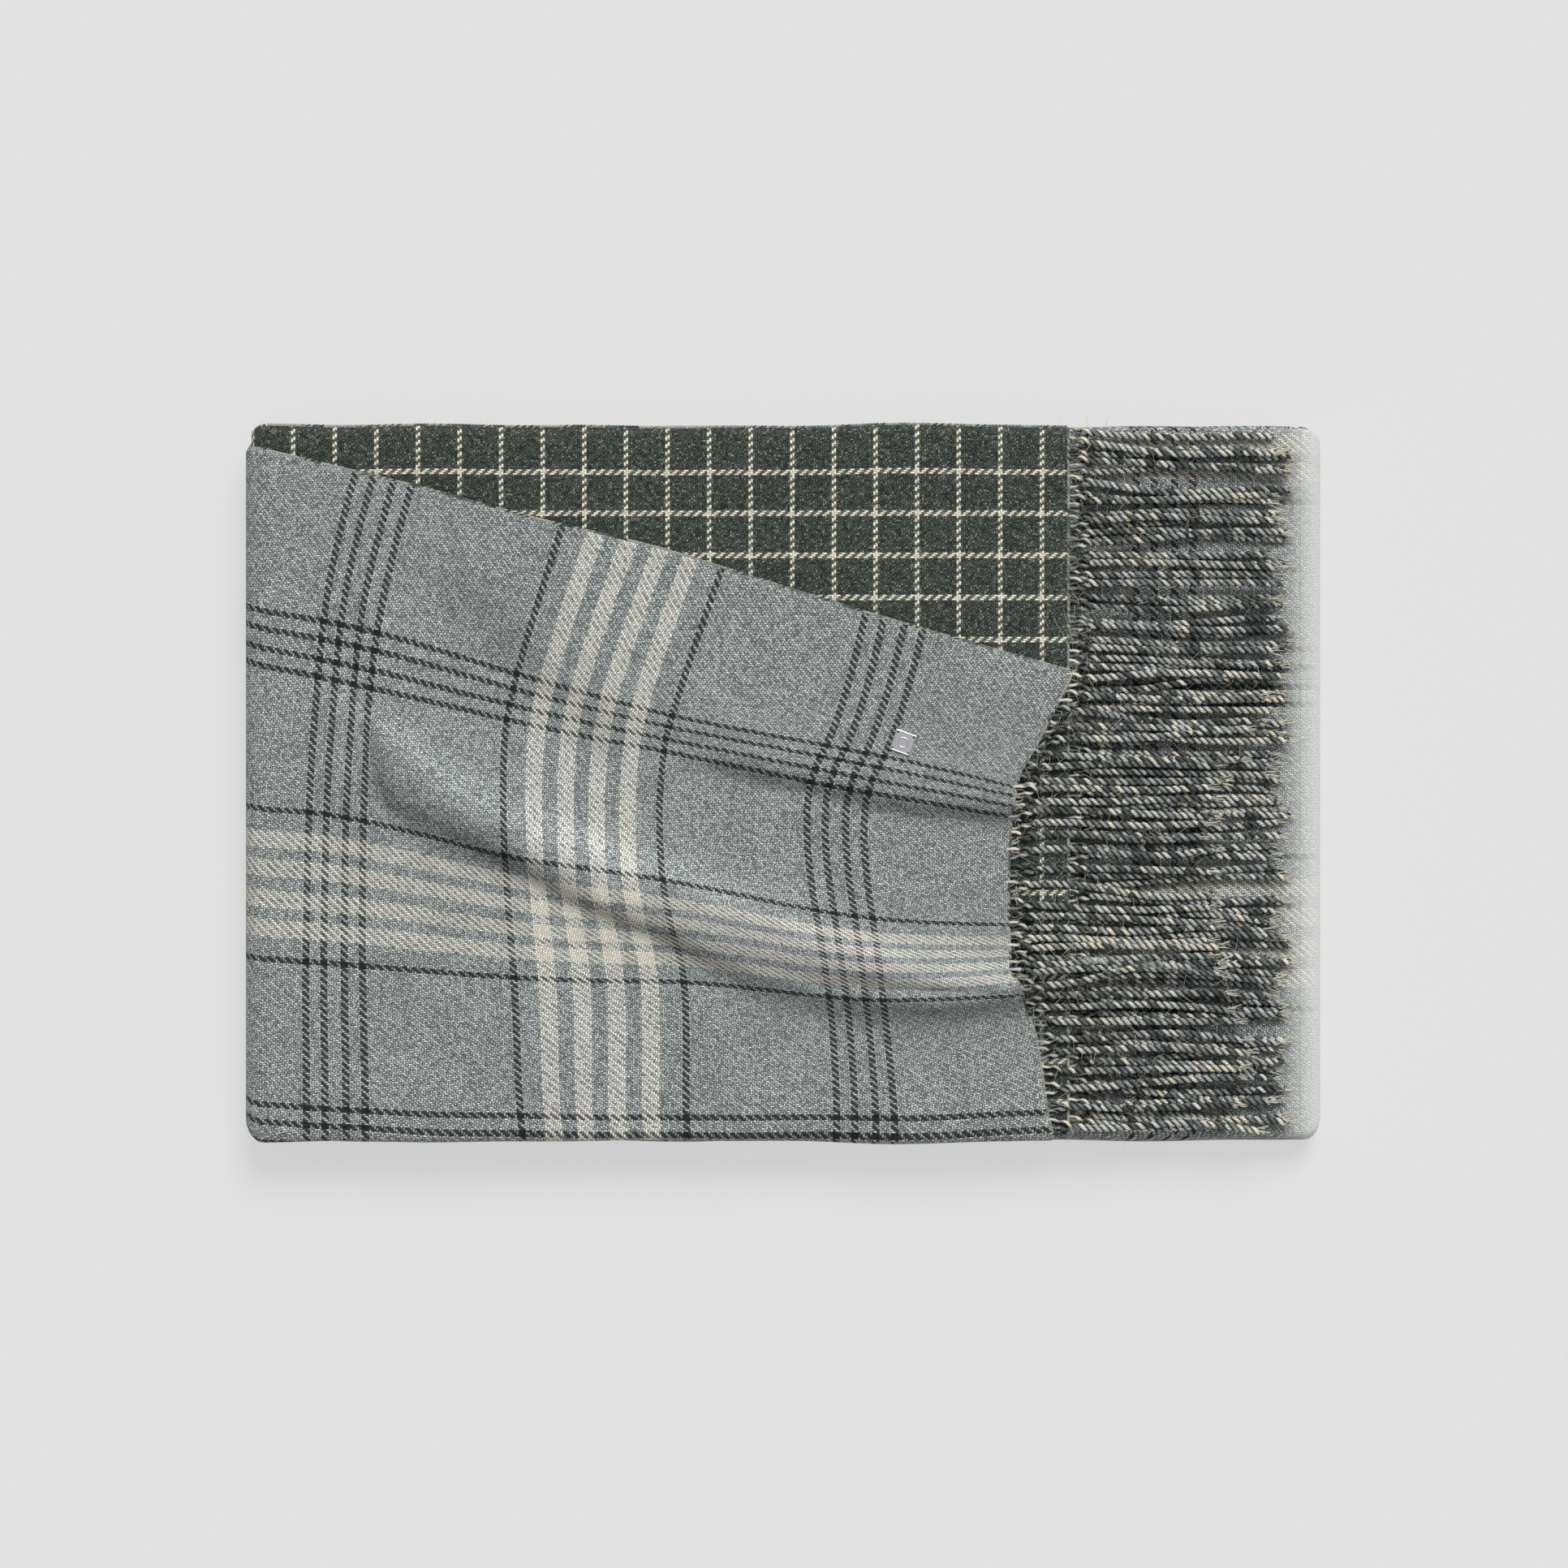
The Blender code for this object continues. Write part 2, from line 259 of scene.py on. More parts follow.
# %% [markdown]
# ## The plaid's stripe plan
# On a loom the pattern is two lists of coloured stripes, one for the warp and one for the weft.
# A Color Ramp with constant steps holds such a list well: each stripe is a pair of stops. It
# counts yarns, not millimetres, so that a stripe never gains or loses a yarn. The bands and
# lines repeat every 260 warp yarns (226 mm) across and every 233 weft yarns (235 mm) along.

# %% Stripe plans
GROUND, DARK, CREAM = "ground", "dark", "cream"


def stripes_at(centres_mm, pitch_mm, yarns, colour):
    """Stripes of a whole number of yarns, as (first yarn, number of yarns, colour)."""
    return [(round(c / pitch_mm - yarns / 2), yarns, colour) for c in centres_mm]


WARP_PITCH, WEFT_PITCH = 226.3 / 260, 235.5 / 233
ACROSS_PLAN = (
    260, 5, stripes_at([7.2, 74.7, 82.6, 90.6, 98.5, 166.0], WARP_PITCH, 3, DARK)
    + stripes_at([179.5, 193.0, 206.5, 220.0], WARP_PITCH, 9, CREAM)
)
ALONG_PLAN = (
    233, 0, stripes_at([64.6, 72.6, 80.7, 88.7, 157.2, 233.3], WEFT_PITCH, 3, DARK)
    + stripes_at([172.4, 187.6, 202.9, 218.1], WEFT_PITCH, 8, CREAM)
)
RAMP_CELLS = 255  # the renderer reads a ramp in this many steps, so one yarn takes one step
EARLY = 0.3  # of a yarn: a stop stands this far before its yarn, clear of rounding


def stripe_ramp(tree, yarn, plan, colours):
    """(colour, is it cream?) of this yarn, counted from the edge of the cloth.

    A plan is how many yarns make one repeat, the yarn it starts at, and its stripes."""
    repeat, start, stripes = plan
    ramp = tree.nodes.new("ShaderNodeValToRGB")
    ramp.color_ramp.interpolation = "CONSTANT"
    stops = ramp.color_ramp.elements
    stops[0].color = colours[GROUND]
    stops.remove(stops[1])
    for first, count, colour in sorted(((first - start) % repeat, *rest) for first, *rest in stripes):
        stops.new((first - EARLY) / RAMP_CELLS).color = colours[colour]
        stops.new((first + count - EARLY) / RAMP_CELLS).color = colours[GROUND]
    counted = maths(tree, "FLOORED_MODULO", maths(tree, "ADD", yarn, 0.5 - start), repeat)
    share = maths(tree, "DIVIDE", counted, RAMP_CELLS, clamp=True)
    tree.links.new(share, ramp.inputs[0])
    return ramp.outputs[0], ramp.outputs[1]


print("stripes across:", len(ACROSS_PLAN[2]), "along:", len(ALONG_PLAN[2]))

# %% [markdown]
# ## The twill
# In a two-and-two twill each yarn passes over two others and then under two, and every row
# starts one step later, which draws the slanting ribs. The node arithmetic finds the cell, asks
# whether the warp or the weft is on top, and shapes that yarn as a small rounded arch.

# %% Twill cells
SLOW_WAVER, QUICK_WAVER = 260.0, 850.0  # bumps to a metre of cloth
FLOAT_CELLS = 4.0  # a twill step repeats after four cells: two floated over and two passed under
FULLNESS = 2.4  # 2 is a round yarn, and more is a flatter one
ARCH = 0.75  # share of a yarn's height that rises and falls along its float


def twill(tree, warp_pitch, weft_pitch, wobble_mm):
    """(warp on top?, height of the yarn, warp yarn number, weft yarn number, seed per crossing)"""
    where = place_on_cloth(tree)
    u, v = two_parts(tree, where)
    slow = maths(tree, "SUBTRACT", noise(tree, where, SLOW_WAVER), 0.5)
    quick = maths(tree, "SUBTRACT", noise(tree, where, QUICK_WAVER, 1.0), 0.5)
    waver = maths(tree, "MULTIPLY", maths(tree, "MULTIPLY_ADD", quick, 1.6, slow), wobble_mm * 2)
    across = maths(tree, "ADD", maths(tree, "MULTIPLY", u, 1 / MM), waver)
    along = maths(tree, "SUBTRACT", maths(tree, "MULTIPLY", v, 1 / MM), waver)
    row_at = maths(tree, "DIVIDE", across, warp_pitch)
    pick_at = maths(tree, "DIVIDE", along, weft_pitch)
    row, pick = maths(tree, "FLOOR", row_at), maths(tree, "FLOOR", pick_at)
    in_row, in_pick = maths(tree, "FRACT", row_at), maths(tree, "FRACT", pick_at)
    step = maths(tree, "FLOORED_MODULO", maths(tree, "ADD", row, pick), FLOAT_CELLS)
    warp_up = maths(tree, "LESS_THAN", step, 1.5)
    sideways = blend_numbers(tree, warp_up, in_pick, in_row)
    warp_run = maths(tree, "MULTIPLY", maths(tree, "ADD", step, in_pick), 0.5)
    weft_run = maths(tree, "MULTIPLY", maths(tree, "ADD", maths(tree, "SUBTRACT", step, 2.0), in_row), 0.5)
    run = blend_numbers(tree, warp_up, weft_run, warp_run)
    off_middle = maths(tree, "ABSOLUTE", maths(tree, "SUBTRACT", maths(tree, "MULTIPLY", sideways, 2.0), 1.0))
    rounded = maths(tree, "SUBTRACT", 1.0, maths(tree, "POWER", off_middle, FULLNESS))
    arch = maths(tree, "SINE", maths(tree, "MULTIPLY", run, math.pi))
    height = maths(tree, "MULTIPLY", rounded, maths(tree, "MULTIPLY_ADD", arch, ARCH, 1 - ARCH))
    seed = random_per(tree, vector(tree, row, pick, warp_up))
    return warp_up, height, row, pick, seed


print("twill: cells of", round(WARP_PITCH, 2), "by", round(WEFT_PITCH, 2), "mm on the plaid face")

# %% [markdown]
# ## The pale plaid face
# The yarns are a pale blue-grey melange with charcoal and cream stripes. Each crossing gets its
# own lightness, and the hollows between yarns are dark, because a fulled wool surface keeps
# little light down there. A weak, large cloudiness stands for handling and nap. Over it come a
# painted highlight and painted shade on the top leaf's wrinkles, and painted light that pales the
# cloth towards the tasselled end. Colours with an alpha of 0 are plain yarns and those with 1 the
# soft cream ones, so a ramp tells which it gave.

# %% Plaid face material
MINGLED = 0.12  # share of the lower yarn's colour where either yarn is cream
FIBRE_GRAIN, CLOUD_GRAIN = 2400.0, 30.0  # bumps to a metre of cloth
FIBRE_CONTRAST, CLOUD_CONTRAST = 2.4, 0.24
# The colour of the painted light that pales the cloth towards the tasselled end.
PAINTED_LIGHT_COLOUR = (0.86, 0.87, 0.84, 1)
BARE_YARNS = 30  # plain warp yarns beside the selvage, before the first line


def plain(red, green, blue):
    """A yarn's colour, marked as not cream by its alpha."""
    return linear(red, green, blue)[:3] + (0.0,)


def yarn_shading(tree, top, under, height, seed, hollow, spread, lofty, either_lofty, dimmed):
    """The top yarn where it stands up, and the shaded yarn under it in the hollows beside it.

    Fibres of the lower yarn work up between those of the upper one, so the two colours mix a
    little, most of all where a dark yarn lies below or either yarn is the soft cream one."""
    top = blend_colours(tree, maths(tree, "MULTIPLY", either_lofty, MINGLED), top, under)
    dim_here = maths(tree, "MULTIPLY", maths(tree, "SUBTRACT", 1.0, lofty), dimmed)
    top = blend_colours(tree, dim_here, top, under, "DARKEN")
    raised = maths(tree, "POWER", height, maths(tree, "MULTIPLY_ADD", lofty, -0.55, 1.05))
    spread_here = maths(tree, "MULTIPLY", maths(tree, "MULTIPLY_ADD", lofty, -0.70, 1.0), spread)
    lightness = maths(tree, "MULTIPLY_ADD", maths(tree, "SUBTRACT", seed, 0.5), spread_here, 1.0)
    lit = shaded_by(tree, top, lightness)
    sunk = blend_colours(tree, 1.0, under, (hollow, hollow, hollow, 1), "MULTIPLY")
    return blend_colours(tree, raised, sunk, lit)


def make_plaid():
    made, tree, surface = start_material("plaid_face_wool", 0.92, sheen=0.06)
    warp_up, height, row, pick, seed = twill(tree, WARP_PITCH, WEFT_PITCH, 0.16)
    warp_colours = {GROUND: plain(212, 219, 217), DARK: plain(52, 57, 55), CREAM: linear(255, 251, 236)}
    weft_colours = {GROUND: plain(182, 189, 187), DARK: plain(52, 57, 55), CREAM: linear(255, 250, 234)}
    warp, warp_lofty = stripe_ramp(tree, row, ACROSS_PLAN, warp_colours)
    weft, weft_lofty = stripe_ramp(tree, pick, ALONG_PLAN, weft_colours)
    bare = maths(tree, "LESS_THAN", row, BARE_YARNS)
    warp = blend_colours(tree, bare, warp, warp_colours[GROUND][:3] + (1.0,))
    yarn, under = blend_colours(tree, warp_up, weft, warp), blend_colours(tree, warp_up, warp, weft)
    lofty = blend_numbers(tree, warp_up, weft_lofty, warp_lofty)
    either = maths(tree, "MAXIMUM", weft_lofty, warp_lofty)
    where = place_on_cloth(tree)
    fibres = noise(tree, where, FIBRE_GRAIN, 1.0)
    shaded = yarn_shading(
        tree, yarn, under, height, seed, hollow=0.08, spread=1.10, lofty=lofty, either_lofty=either, dimmed=0.26,
    )
    shaded = shaded_by(tree, shaded, maths(tree, "MULTIPLY_ADD", fibres, FIBRE_CONTRAST, -0.20))
    cloudiness_and_painted_shade = noise(tree, where, CLOUD_GRAIN, 4.0)
    cloudiness_and_painted_shade = maths(tree, "MULTIPLY_ADD", cloudiness_and_painted_shade, CLOUD_CONTRAST, 1 - CLOUD_CONTRAST / 2)
    # Painted highlight on the top leaf's wrinkle crests and painted shade in their hollows.
    cloudiness_and_painted_shade = maths(tree, "MULTIPLY", cloudiness_and_painted_shade, maths(tree, "ADD", surface_value(tree, "nap"), 1.0))
    shaded = shaded_by(tree, shaded, cloudiness_and_painted_shade)
    # Painted light: the cloth turns paler towards the tasselled end, as if lit from the right.
    with_painted_light = blend_colours(tree, surface_value(tree, "rubbed_pale"), shaded, PAINTED_LIGHT_COLOUR)
    tree.links.new(with_painted_light, surface.inputs["Base Color"])
    add_bump(tree, surface, height, 0.7, 0.0004)
    return made


plaid_face = make_plaid()
print("plaid face:", len(plaid_face.node_tree.nodes), "nodes")

# %% [markdown]
# ## The dark window-pane face
# The reverse is a dark green-charcoal twill. Three cream warp yarns or two cream weft yarns mark
# each line of the panes, and it shows as a few rows of dashes where those yarns surface.

# %% Window-pane face material
PANE_WARPS, PANE_WEFTS = 22, 18  # yarns to a pane
PANE_WARP_PITCH, PANE_WEFT_PITCH = 18.75 / PANE_WARPS, 18.5 / PANE_WEFTS
CLOTH_WIDTH = 1274.5 * MM
LAST_LINE, FIRST_LINE = 20.6, 11.5  # mm from the far selvage and from the woven edge
BARE_SELVAGE = 12  # mm of plain cloth beside the far selvage
SPECK_GRAIN, SPECK_LIMIT, SPECK_WEIGHT = 2.3, 0.62, 0.35  # a few of the dark yarns' crossings are paler


def make_panes():
    made, tree, surface = start_material("window_pane_face_wool", 0.95, sheen=0.06)
    warp_up, height, row, pick, seed = twill(tree, PANE_WARP_PITCH, PANE_WEFT_PITCH, 0.12)
    colours = {GROUND: plain(84, 92, 85), CREAM: linear(255, 250, 228)}
    line_row = round((CLOTH_WIDTH / MM - LAST_LINE) / PANE_WARP_PITCH) % PANE_WARPS - 1
    line_pick = round(FIRST_LINE / PANE_WEFT_PITCH) - 1
    warp, warp_lofty = stripe_ramp(tree, row, (PANE_WARPS, line_row - 2, [(line_row, 3, CREAM)]), colours)
    weft, weft_lofty = stripe_ramp(tree, pick, (PANE_WEFTS, line_pick - 2, [(line_pick, 2, CREAM)]), colours)
    bare = maths(tree, "GREATER_THAN", row, (CLOTH_WIDTH / MM - BARE_SELVAGE) / PANE_WARP_PITCH)
    warp = blend_colours(tree, bare, warp, colours[GROUND][:3] + (1.0,))
    yarn, under = blend_colours(tree, warp_up, weft, warp), blend_colours(tree, warp_up, warp, weft)
    lofty = blend_numbers(tree, warp_up, weft_lofty, warp_lofty)
    speck = maths(tree, "GREATER_THAN", noise(tree, vector(tree, row, pick, seed), SPECK_GRAIN, 0.0), SPECK_LIMIT)
    yarn = blend_colours(tree, maths(tree, "MULTIPLY", speck, SPECK_WEIGHT), yarn, linear(176, 180, 168))
    shaded = yarn_shading(
        tree, yarn, under, height, seed, hollow=0.12, spread=1.2, lofty=lofty, either_lofty=0.0, dimmed=0.0,
    )
    tree.links.new(shaded, surface.inputs["Base Color"])
    add_bump(tree, surface, height, 0.7, 0.0003)
    return made


pane_face = make_panes()
print("window-pane face:", len(pane_face.node_tree.nodes), "nodes")

# %% [markdown]
# ## The cut side of the cloth
# Seen edge on, a double cloth shows pale and dark yarn ends side by side. The rim of each sheet
# gets its own speckled material, so the layers read as layers from the side.

# %% Rim material


def make_rim():
    made, tree, surface = start_material("cloth_rim_yarns", 0.95, sheen=0.06)
    speck = noise(tree, place_on_cloth(tree), 900.0, 1.0)
    ramp = tree.nodes.new("ShaderNodeValToRGB")
    stops = ramp.color_ramp.elements
    stops[0].position, stops[0].color = 0.40, linear(62, 68, 64)
    stops[1].position, stops[1].color = 0.62, linear(196, 200, 194)
    tree.links.new(speck, ramp.inputs[0])
    tree.links.new(ramp.outputs[0], surface.inputs["Base Color"])
    add_bump(tree, surface, speck, 0.6, 0.0004)
    return made


rim_yarns = make_rim()
print("rim yarns:", len(rim_yarns.node_tree.nodes), "nodes")

# %% [markdown]
# ## The path of the cloth across its width
# Cut across the folded panel and the cloth is one long line: down leaf 1, round the outer turn,
# back along leaf 4, round the back turn, along leaf 3, round the inner turn and out along
# leaf 2. Each station on that line stores its place, its normal towards the plaid face, and the
# length of cloth used so far, which later tells the weave where it is.

# %% Width stations
TIGHT_TURN_STEPS = 8


def arc_run(centre_y, centre_h, radius, start, end, steps, outward):
    angles = np.radians(np.linspace(start, end, steps + 1))[1:-1]
    return [
        (centre_y + radius * cos, centre_h + radius * sin, outward * cos, outward * sin)
        for cos, sin in zip(np.cos(angles), np.sin(angles))
    ]


def flat_run(y0, y1, height, steps, up):
    return [(y0 + (y1 - y0) * i / steps, height, 0.0, up) for i in range(steps + 1)]


def width_stations(top_steps, hidden_steps, turn_steps):
    """One row (y, height, normal y, normal height, cloth used) per station."""
    rows = (
        flat_run(SELVAGE_Y, TURN_Y, 3.5 * PITCH, top_steps, 1.0)
        + arc_run(TURN_Y, 2 * PITCH, 1.5 * PITCH, 90, 270, turn_steps, 1.0)
        + flat_run(TURN_Y, BACK_TURN_Y, 0.5 * PITCH, hidden_steps, -1.0)
        + arc_run(BACK_TURN_Y, PITCH, 0.5 * PITCH, -90, 90, TIGHT_TURN_STEPS, 1.0)
        + flat_run(BACK_TURN_Y, TURN_Y, 1.5 * PITCH, hidden_steps, 1.0)
        + arc_run(TURN_Y, 2 * PITCH, 0.5 * PITCH, 270, 90, TIGHT_TURN_STEPS, -1.0)
        + flat_run(TURN_Y, SELVAGE_Y, 2.5 * PITCH, hidden_steps, -1.0)
    )
    table = np.array(rows)
    used = np.concatenate([[0], np.cumsum(np.hypot(np.diff(table[:, 0]), np.diff(table[:, 1])))])
    return np.column_stack([table, used])


plain_stations = width_stations(28, 28, 12)
print("cloth used across the width:", round(plain_stations[-1, 4] / MM, 1), "mm in",
      len(plain_stations), "stations")

# %% [markdown]
# ## Small unevenness
# No real stack is straight. A slow wave, the same for every layer at one place, makes the stack
# a little thicker here and thinner there and lets the turned edges wander by less than 1 mm.
# Because it is one field for all pieces, layers never cut through each other.

# %% Slow waves
SWELL_SHARE, SWELL_SIZE = 0.012, 110 * MM
WANDER, WANDER_SIZE = 0.7 * MM, 90 * MM
LEVEL_RUN = 50 * MM  # the swell fades to none this close to a crease
EDGE_STARTS, EDGE_RUN = 120 * MM, 35 * MM


def smooth(t):
    """From 0 to 1 with no corner at either end."""
    t = np.clip(t, 0, 1)
    return t * t * (3 - 2 * t)


def slow_waves(x, y, size, seed):
    """A smooth field of about -1 to 1 with bumps of this size."""
    draw = np.random.default_rng(seed)
    total = np.zeros(np.broadcast(x, y).shape)
    for _ in range(7):
        heading, phase = draw.uniform(0, 2 * math.pi, 2)
        turns = 2 * math.pi / size * draw.uniform(0.6, 1.5)
        total = total + np.sin(turns * (x * math.cos(heading) + y * math.sin(heading)) + phase)
    return total / 3.2


def settle(points):
    """Moves rest positions by the slow waves. Low layers move least, so the stack stands on the floor.

    The creases don't swell at all, because the two halves of a fold must part at one level."""
    x, y, z = points[..., 0], points[..., 1], points[..., 2]
    inside = smooth((CREASE_X - np.abs(x)) / LEVEL_RUN)
    swell = 1 + SWELL_SHARE * slow_waves(x, y, SWELL_SIZE, 3) * inside
    edge = np.clip((np.abs(y) - EDGE_STARTS) / EDGE_RUN, 0, 1) * np.sign(y)
    inward = WANDER * (slow_waves(x, z * 6, WANDER_SIZE, 5) - 1.0) * edge
    return np.stack([x, y + inward, z * swell], axis=-1)


print("sample swell:", round(float(settle(np.array([[0.1, 0.1, 0.03]]))[0, 2] / MM), 2), "mm")

# %% [markdown]
# ## From a grid to a sheet with two faces
# A sheet could get its thickness from the Solidify modifier. Here the two faces are made
# directly from the middle surface and its normals, because each face needs its own material and
# the rim its own rounded row of points.

# %% Sheet builder
RIM_BULGE = 0.42 * SHOWN_CLOTH


def points_of(*parts):
    """Points, or pairs, from separate coordinates that are stretched to one shape."""
    return np.stack(np.broadcast_arrays(*parts), axis=-1)


def grid_normals(points, towards):
    across = np.gradient(points, axis=0)
    along = np.gradient(points, axis=1)
    normal = np.cross(across, along)
    normal /= np.linalg.norm(normal, axis=2, keepdims=True) + 1e-12
    facing = np.sign((normal * towards).sum(axis=2, keepdims=True))
    return normal * np.where(facing == 0, 1, facing)


def add_mesh(name, points, faces, corner_uv, face_kinds, materials):
    mesh = bpy.data.meshes.new(name)
    mesh.from_pydata(points.tolist(), [], faces)
    layer = mesh.uv_layers.new(name="Cloth")
    layer.data.foreach_set("uv", np.asarray(corner_uv, np.float32).ravel())
    for kind in materials:
        mesh.materials.append(kind)
    mesh.polygons.foreach_set("material_index", np.asarray(face_kinds, np.int32))
    mesh.polygons.foreach_set("use_smooth", np.ones(len(faces), bool))
    mesh.update()
    obj = bpy.data.objects.new(name, mesh)
    bpy.context.scene.collection.objects.link(obj)
    return obj


def store_values(obj, title, values):
    """Keeps one number for each point, for the material to read."""
    stored = obj.data.attributes.new(title, "FLOAT", "POINT")
    stored.data.foreach_set("value", values.astype(np.float32))


def sheet_from_grid(name, middle, towards, weave, open_ends, **point_values):
    """A closed sheet. open_ends says which of the two length ends meet another sheet and stay square.

    middle has one row of points for each station across and weave says where each point is on the
    flat cloth. The plaid face looks the way that towards points."""
    rows, columns = middle.shape[:2]
    normal = grid_normals(middle, towards)
    plaid_side = middle + normal * SHOWN_CLOTH / 2
    pane_side = middle - normal * SHOWN_CLOTH / 2
    index = np.arange(rows * columns).reshape(rows, columns)
    ring = np.concatenate([index[0, :-1], index[:-1, -1], index[-1, :0:-1], index[:0:-1, 0]])
    flat_middle = middle.reshape(-1, 3)
    inner = np.concatenate([index[1, :-1], index[:-1, -2], index[-2, :0:-1], index[:0:-1, 1]])
    outward = flat_middle[ring] - flat_middle[inner]
    outward /= np.linalg.norm(outward, axis=1, keepdims=True) + 1e-12
    column = ring % columns
    square = ((column == 0) & open_ends[0]) | ((column == columns - 1) & open_ends[1])
    bulge = np.where(square, 0.0, RIM_BULGE)[:, None]
    rim = flat_middle[ring] + outward * bulge
    count = rows * columns
    points = np.concatenate([plaid_side.reshape(-1, 3), pane_side.reshape(-1, 3), rim])
    a, b, c, d = (corner.ravel() for corner in (index[:-1, :-1], index[1:, :-1], index[1:, 1:], index[:-1, 1:]))
    face_a = np.column_stack([a, b, c, d])
    face_b = np.column_stack([a, d, c, b]) + count
    after = np.roll(ring, -1)
    rim_at = 2 * count + np.arange(len(ring))
    rim_next = np.roll(rim_at, -1)
    upper = np.column_stack([ring, after, rim_next, rim_at])
    lower = np.column_stack([rim_at, rim_next, after + count, ring + count])
    faces = np.concatenate([face_a, face_b, upper, lower])
    kinds = np.concatenate([np.zeros(len(face_a)), np.ones(len(face_b)), np.full(len(upper) + len(lower), 2)])
    a, b, c, d = (points[faces[:, corner]] for corner in range(4))
    volume = (a * np.cross(b, c)).sum() + (a * np.cross(c, d)).sum()
    if volume < 0:
        faces = faces[:, ::-1]
    flat_weave = weave.reshape(-1, 2)
    point_uv = np.concatenate([flat_weave, flat_weave, flat_weave[ring]])
    obj = add_mesh(name, points, faces.tolist(), point_uv[faces], kinds, (plaid_face, pane_face, rim_yarns))
    obj.data.set_sharp_from_angle(angle=math.radians(60))
    for title, values in point_values.items():
        flat = np.broadcast_to(values, (rows, columns)).ravel()
        store_values(obj, title, np.concatenate([flat, flat, flat[ring]]))
    print(f"{name}: {len(faces)} faces, {abs(volume) / 6 * 1e6:.0f} cm3 of cloth")
    return obj


print("rims bulge by", round(RIM_BULGE / MM, 2), "mm")

# %% [markdown]
# ## The slipped top leaf
# The top leaf isn't flat and square like the others. Its free selvage runs aslant and its woven
# edge is bowed, because the cloth slid while it was folded. The stripes show how: the small
# table below says where chosen spots of the flat cloth have come to lie. A natural spline
# through the table gives a smooth leaf, which a plain scaling of a flat grid couldn't.

# %% Where the top leaf's cloth lies
# Rows go from the selvage to the turned edge and columns from the woven edge to the left crease.
LEAF_ROWS = np.array([0, 74.7, 98.5, 166, 200, 233.5, 301, 312])
LEAF_COLUMNS = np.array([0, 76.6, 157.2, 195.2, 233.3, 312, 352])
LEAF_X = np.array([
    [127.9, 49.2, -27.6, -61.5, -98.7, -177.6, -230.15],
    [105.5, 31.9, -49.6, -84.2, -118.8, -192.1, -230.15],
    [102.6, 25.1, -53.2, -87.8, -123.2, -194.6, -230.15],
    [101.2, 26.9, -53.9, -88.9, -123.9, -198.6, -230.15],
    [102.6, 29.8, -49.2, -85.7, -122.5, -199.3, -230.15],
    [105.5, 32.3, -44.5, -82.1, -120.3, -199.6, -230.15],
    [116.3, 36.3, -43.5, -81.0, -117.4, -198.9, -230.15],
    [119.2, 36.3, -43.1, -80.3, -116.7, -198.9, -230.15],
])
LEAF_Y = np.array([
    [49.8, 72.1, 95.9, 106.0, 114.7, 135.6, 147.9],
    [-1.4, 14.8, 30.7, 39.7, 49.4, 70.3, 77.2],
    [-13.3, -0.4, 15.5, 22.0, 29.6, 46.2, 53.4],
    [-62.8, -58.4, -42.9, -37.5, -31.4, -14.4, -11.5],
    [-77.9, -77.2, -65.3, -62.4, -58.4, -46.9, -44.4],
    [-93.1, -95.2, -88.0, -87.3, -85.8, -79.7, -77.6],
    [-145.7, -148.6, -148.2, -147.9, -147.5, -144.3, -141.8],
    [-155.15] * 7,
])
TURN_CLOTH = np.array([310.4, 307.5, 307.9, 308.3, 308.6, 311.9, 314.4])
CREASE_CLOTH = np.array([366, 352, 349, 345, 344, 343, 343, 343])


def natural_spline(knots, values, where):
    """Cubic spline through values, straight at both ends. values may have any trailing shape."""
    gaps = np.diff(knots)
    size = len(knots)
    system = np.eye(size)
    right = np.zeros((size,) + values.shape[1:])
    for i in range(1, size - 1):
        system[i, i - 1:i + 2] = gaps[i - 1], 2 * (gaps[i - 1] + gaps[i]), gaps[i]
        steps = np.diff(values[i - 1:i + 2], axis=0)
        right[i] = 6 * (steps[1] / gaps[i] - steps[0] / gaps[i - 1])
    bend = np.linalg.solve(system, right.reshape(size, -1)).reshape(right.shape)
    cell = np.clip(np.searchsorted(knots, where) - 1, 0, size - 2)
    shape = (-1,) + (1,) * (values.ndim - 1)
    h = gaps[cell].reshape(shape)
    low = ((knots[cell + 1] - where) / gaps[cell]).reshape(shape)
    high = 1 - low
    return (low * values[cell] + high * values[cell + 1]
            + h ** 2 / 6 * ((low ** 3 - low) * bend[cell] + (high ** 3 - high) * bend[cell + 1]))


def leaf_plan(rows, columns):
    """x, y, cloth across and cloth along, in mm, on a grid of rows by columns of the top leaf."""
    across = np.repeat(LEAF_ROWS[:, None], len(LEAF_COLUMNS), 1).astype(float)
    across[-1] = TURN_CLOTH
    along = np.repeat(LEAF_COLUMNS[None], len(LEAF_ROWS), 0).astype(float)
    along[:, -1] = CREASE_CLOTH
    table = np.stack([LEAF_X, LEAF_Y, across, along], axis=-1)
    by_column = natural_spline(LEAF_COLUMNS, table.transpose(1, 0, 2), columns)
    return natural_spline(LEAF_ROWS, by_column.transpose(1, 0, 2), rows)


corners = leaf_plan(LEAF_ROWS[[0, -1]], LEAF_COLUMNS[[0, -1]])
print("leaf corners in mm:", corners[0, 0, :2].round(1), corners[1, 1, :2].round(1))

# %% [markdown]
# ## Wrinkles
# When a hand smooths the leaf, the spare cloth is pushed into a few leaning wrinkles: gentle on
# the far side, steep on the near side. Each is a crest line with its height and a width for
# either side. Cloth simulation would make wrinkles too, but not these ones in these places.

